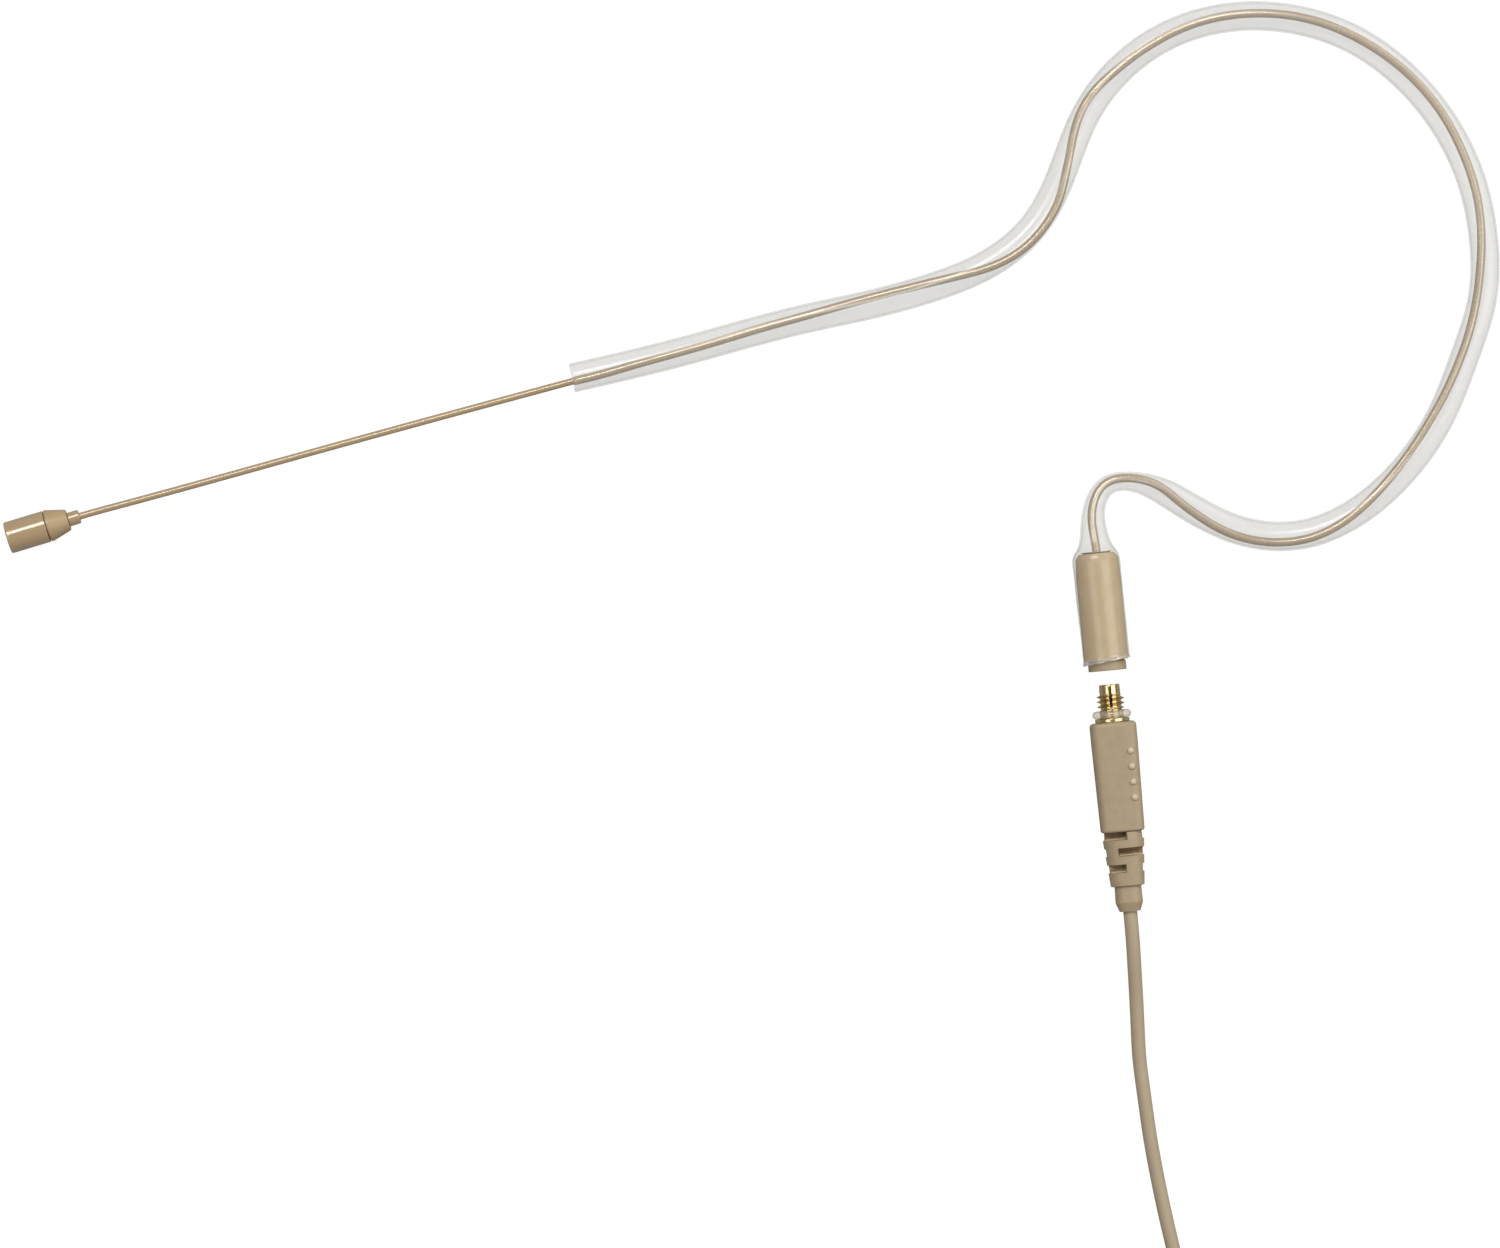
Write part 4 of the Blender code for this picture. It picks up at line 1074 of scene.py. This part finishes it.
def pressed_in(x, y, u, size):
    """A boot outline at a place, pressed in where a pocket is: front to one side, back to the other."""
    floor, slope, recess = 0.90, 0.30, 0.20
    for level, side, past in POCKETS:
        tall = 1 - ramp(abs(u - level), POCKET_HALF - 0.04, POCKET_HALF + 0.04)
        x = np.clip(x, -size + recess * tall, size - recess * tall)
        for front in (-1, 1):
            way = side * -front
            wide = ramp(x * way, -past - 0.05, -past + 0.05)
            depth = floor + slope * ramp(u - level, -0.3, POCKET_HALF) + 0.10 * (1 - wide)
            deep = np.minimum(np.abs(y), depth) * np.sign(y)
            y = y + tall * wide * (y * front > 0) * (deep - y)
    return x, y


def in_painted_pocket_shade(x, y, u):
    """Whether places on the boot lie in one of its pockets, short of the pocket's lower edge: the places
    that get painted shade.
    """
    inside = np.zeros(len(x), bool)
    for level, side, past in POCKETS:
        beside = x * side * -np.sign(y) > -past
        inside |= (np.abs(u - level + 0.09) < POCKET_HALF - 0.09) & beside & (np.abs(y) < 1.25)
    return inside & (np.hypot(x, y) > CORD_R + 0.1)


def make_boot():
    """The strain relief: three rings with alternate pockets darkened by painted shade, and a plain neck.
    """
    top, fullness, flatness = 15.74, 2.5, 0.94
    half_shape = softened(
        [(top, 2.16, 0), (16.60, 2.20, 0.3), (21.46, 1.80, 0.12), (21.54, 1.42, 0.08),
         (23.25, 1.47, 0.30), (24.2, 1.12, 0.12)], closed=False, steps=6,
    )
    shape_u, shape_size = np.array(half_shape).T
    places = np.unique(np.concatenate([np.linspace(top, BOOT_END, 230), shape_u]))
    angles = full_turn(240)
    rings = []
    for u in places:
        size = np.interp(u, shape_u, shape_size)
        x, y = pressed_in(*oval(size, size * flatness, angles, fullness), u, size)
        rings.append(np.stack([x, y, np.full_like(x, -u)], axis=1))
    boot = skinned("plug_boot", bored(rings, CORD_R + 0.03, len(angles)), PLUG, looped=True, crease=50)
    settle(boot, moulded, "plug", "plastic", "strain_relief")
    # Painted shade on the pocket floors, all but their lower edge
    patch(boot, painted_shade, in_painted_pocket_shade)


# ---- far plug

FAR_SHELL_END, FAR_NUT_END = 24.0, 29.0


def make_far_shell():
    """The far plug's stepped shell, banded, with a window for the latch."""
    nose_r, body_r, bore, step = 4.2, 4.9, 3.6, 8.0
    band_r, groove_r = body_r - 0.12, body_r - 0.15
    outline = [
        (bore, 0.0, 0.1), (nose_r, 0.0, 0.25), (nose_r, -step, 0.05), (body_r, -step, 0.2),
        (body_r, -10.0, 0.1), (band_r, -10.2, 0.1), (band_r, -15.6, 0.1), (body_r, -15.8, 0.1),
        (body_r, -22.2, 0.05), (groove_r, -22.4, 0.05), (body_r, -22.6, 0.05),
        (body_r, -FAR_SHELL_END, 0.12), (bore, -FAR_SHELL_END, 0.05),
    ]
    shell = turned("far_plug_shell", outline, FAR, sides=160)
    window = block("window", (0, -body_r, -12.5), (2.8, 4.0, 5.0), FAR, 0.3)
    settle(cut(shell, window), nickel, "cable", "nickel", "far_shell")


def make_far_insert():
    """The far plug's black insert with its keyway, and three contacts in its holes."""
    insert_r, low, high = reach("far_insert", FAR)
    outline = [(0, low), (insert_r, low, 0.05), (insert_r, high, 0.15), (0, high)]
    insert = turned("far_plug_insert", outline, FAR, sides=96)
    ring_r, contact_r, bore, back, front = 1.9, 0.60, 0.36, -15.6, -1.1
    holes = []
    for number in range(3):
        angle = radians(90 + 120 * number)
        x, y = ring_r * cos(angle), ring_r * sin(angle)
        spot = FAR @ Matrix.Translation(Vector((x, y, 0)) * MM)
        outline = [
            (0, -20), (0.66, -20), (0.66, front, 0.0), (0.86, -0.70, 0), (0.86, 1.0, 0), (0, 1.0)
        ]
        holes.append(turned(f"hole_{number}", outline, spot, 0.0, sides=40))
        outline = [
            (0, back), (contact_r, back, 0.03), (contact_r, front, 0.06), (bore, front, 0.05),
            (bore, -7, 0), (0, -7),
        ]
        contact = turned(f"far_plug_contact_{number + 1}", outline, spot, sides=40)
        settle(contact, gold, "cable", "gold", f"far_contact_{number + 1}")
    key = block("key", (0, -insert_r, -2), (1.1, 0.9, 6.0), FAR)
    settle(cut(insert, *holes, key), black, "cable", "black", "far_insert")


def make_far_nut():
    """The far plug's nut, ribbed round for the fingers."""
    ribs, rib_deep, joint = 36, 0.11, -FAR_SHELL_END - 0.1
    angles = full_turn(ribs * 8)
    outline = softened(
        [(2.0, -22.5), (3.4, -22.5), (3.4, joint), (4.7, joint, 0.15), (4.7, -27.6, 0.2),
         (4.1, -FAR_NUT_END, 0.15), (2.0, -FAR_NUT_END, 0.05)], 0.05,
    )
    dense = []
    for first, second in zip(outline, outline[1:] + outline[:1]):
        steps = max(1, int(np.linalg.norm(second - first) / 0.25))
        dense += [first + (second - first) * k / steps for k in range(steps)]
    rings = circles(dense, len(angles))
    waves = rib_deep * (0.5 - 0.5 * np.cos(ribs * angles)) ** 0.7
    for ring, (radius, height) in zip(rings, dense):
        if radius > 4.0:
            start = ramp(-height, FAR_SHELL_END + 0.35, FAR_SHELL_END + 0.55)
            grip = start * (1 - ramp(-height, 27.3, 27.7))
            ring[:, :2] *= (1 - waves * grip / radius)[:, None]
    settle(skinned("far_plug_nut", rings, FAR, looped=True), nickel, "cable", "nickel", "far_nut")


def make_far_boot():
    """The far plug's rubber boot, grooved and tapering to the cable."""
    core, neck, widest, narrowing, grooves = CORD_R + 0.03, 1.9, 3.2, 1.7, 4
    _, end, start = reach("far_relief", FAR)
    shoulder = -FAR_NUT_END - 0.1
    outline = [(core, start), (neck, start), (neck, shoulder), (widest, shoulder, 0.2)]
    pitch = (-end - FAR_NUT_END - 1.5) / grooves
    for i in range(grooves):
        place = FAR_NUT_END + 0.1 + (i + 0.55) * pitch
        size = widest - narrowing * (i + 0.5) / grooves
        outline += [(size, -place, 0.2), (size - 0.38, -place - 0.1, 0.1)]
        outline += [(size - 0.42, -place - 0.95, 0.1), (size - 0.12, -place - 1.05, 0.2)]
    outline += [(1.45, end, 0.25), (core, end, 0.05)]
    settle(turned("far_plug_boot", outline, FAR, sides=72), rubber, "cable", "rubber", "far_relief")


def make_far_latch():
    """The latch's button, ribbed across for the thumb."""
    low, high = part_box("far_latch")
    middle = (low + high) / 2 / MM
    along, across_y, deep = ((high - low) / MM)[:]
    rib_high, rib_pitch, corner = 0.10, 0.62, 0.22
    rings = []
    for x in np.linspace(-along / 2, along / 2, 90):
        inset = rounded_in(corner, along / 2 - abs(x))
        rib = rib_high
        if abs(x) < along / 2 - 0.5:
            rib = rib_high * (0.5 + 0.5 * cos(2 * pi * x / rib_pitch))
        top, bottom = deep / 2 - inset - (rib_high - rib), -deep / 2 + inset
        wide = across_y / 2 - inset
        profile = softened(
            [(wide, bottom, 0.1), (wide, top, 0.2), (-wide, top, 0.2), (-wide, bottom, 0.1)]
        )
        rings.append([(x, p[0], p[1]) for p in profile])
    button = skinned("far_plug_latch", rings, Matrix.Translation(middle * MM))
    settle(button, nickel, "latch", "nickel", "far_latch")


# ---- the whole object

cable = make_cable()
straps = [make_coil_strap(number, angle) for number, angle in enumerate(TIE_ANGLES, 1)]
make_barrel()
make_rear()
make_can()
sleeve = sleeve_route()
make_sleeve(sleeve)
make_wires(sleeve)
make_socket()
make_plug_tip()
make_plug_core()
make_seal()
make_grip()
make_boot()
make_far_shell()
make_far_insert()
make_far_nut()
make_far_boot()
make_far_latch()

# Inner CAD nodes that keep their shape, and their materials
KEPT = {
    "element_diaphragm": gold, "element_backplate": nickel,
    "element_spacer": white, "element_board": board, "element_transistor": black,
    "socket_insulator": white, "socket_contact": gold, "socket_crimp": nickel,
    "plug_crimp": nickel, "cable_core": jacket, "far_latch_spring": steel, "far_clamp": black,
}
for name, finish in KEPT.items():
    paint(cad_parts[name], finish)
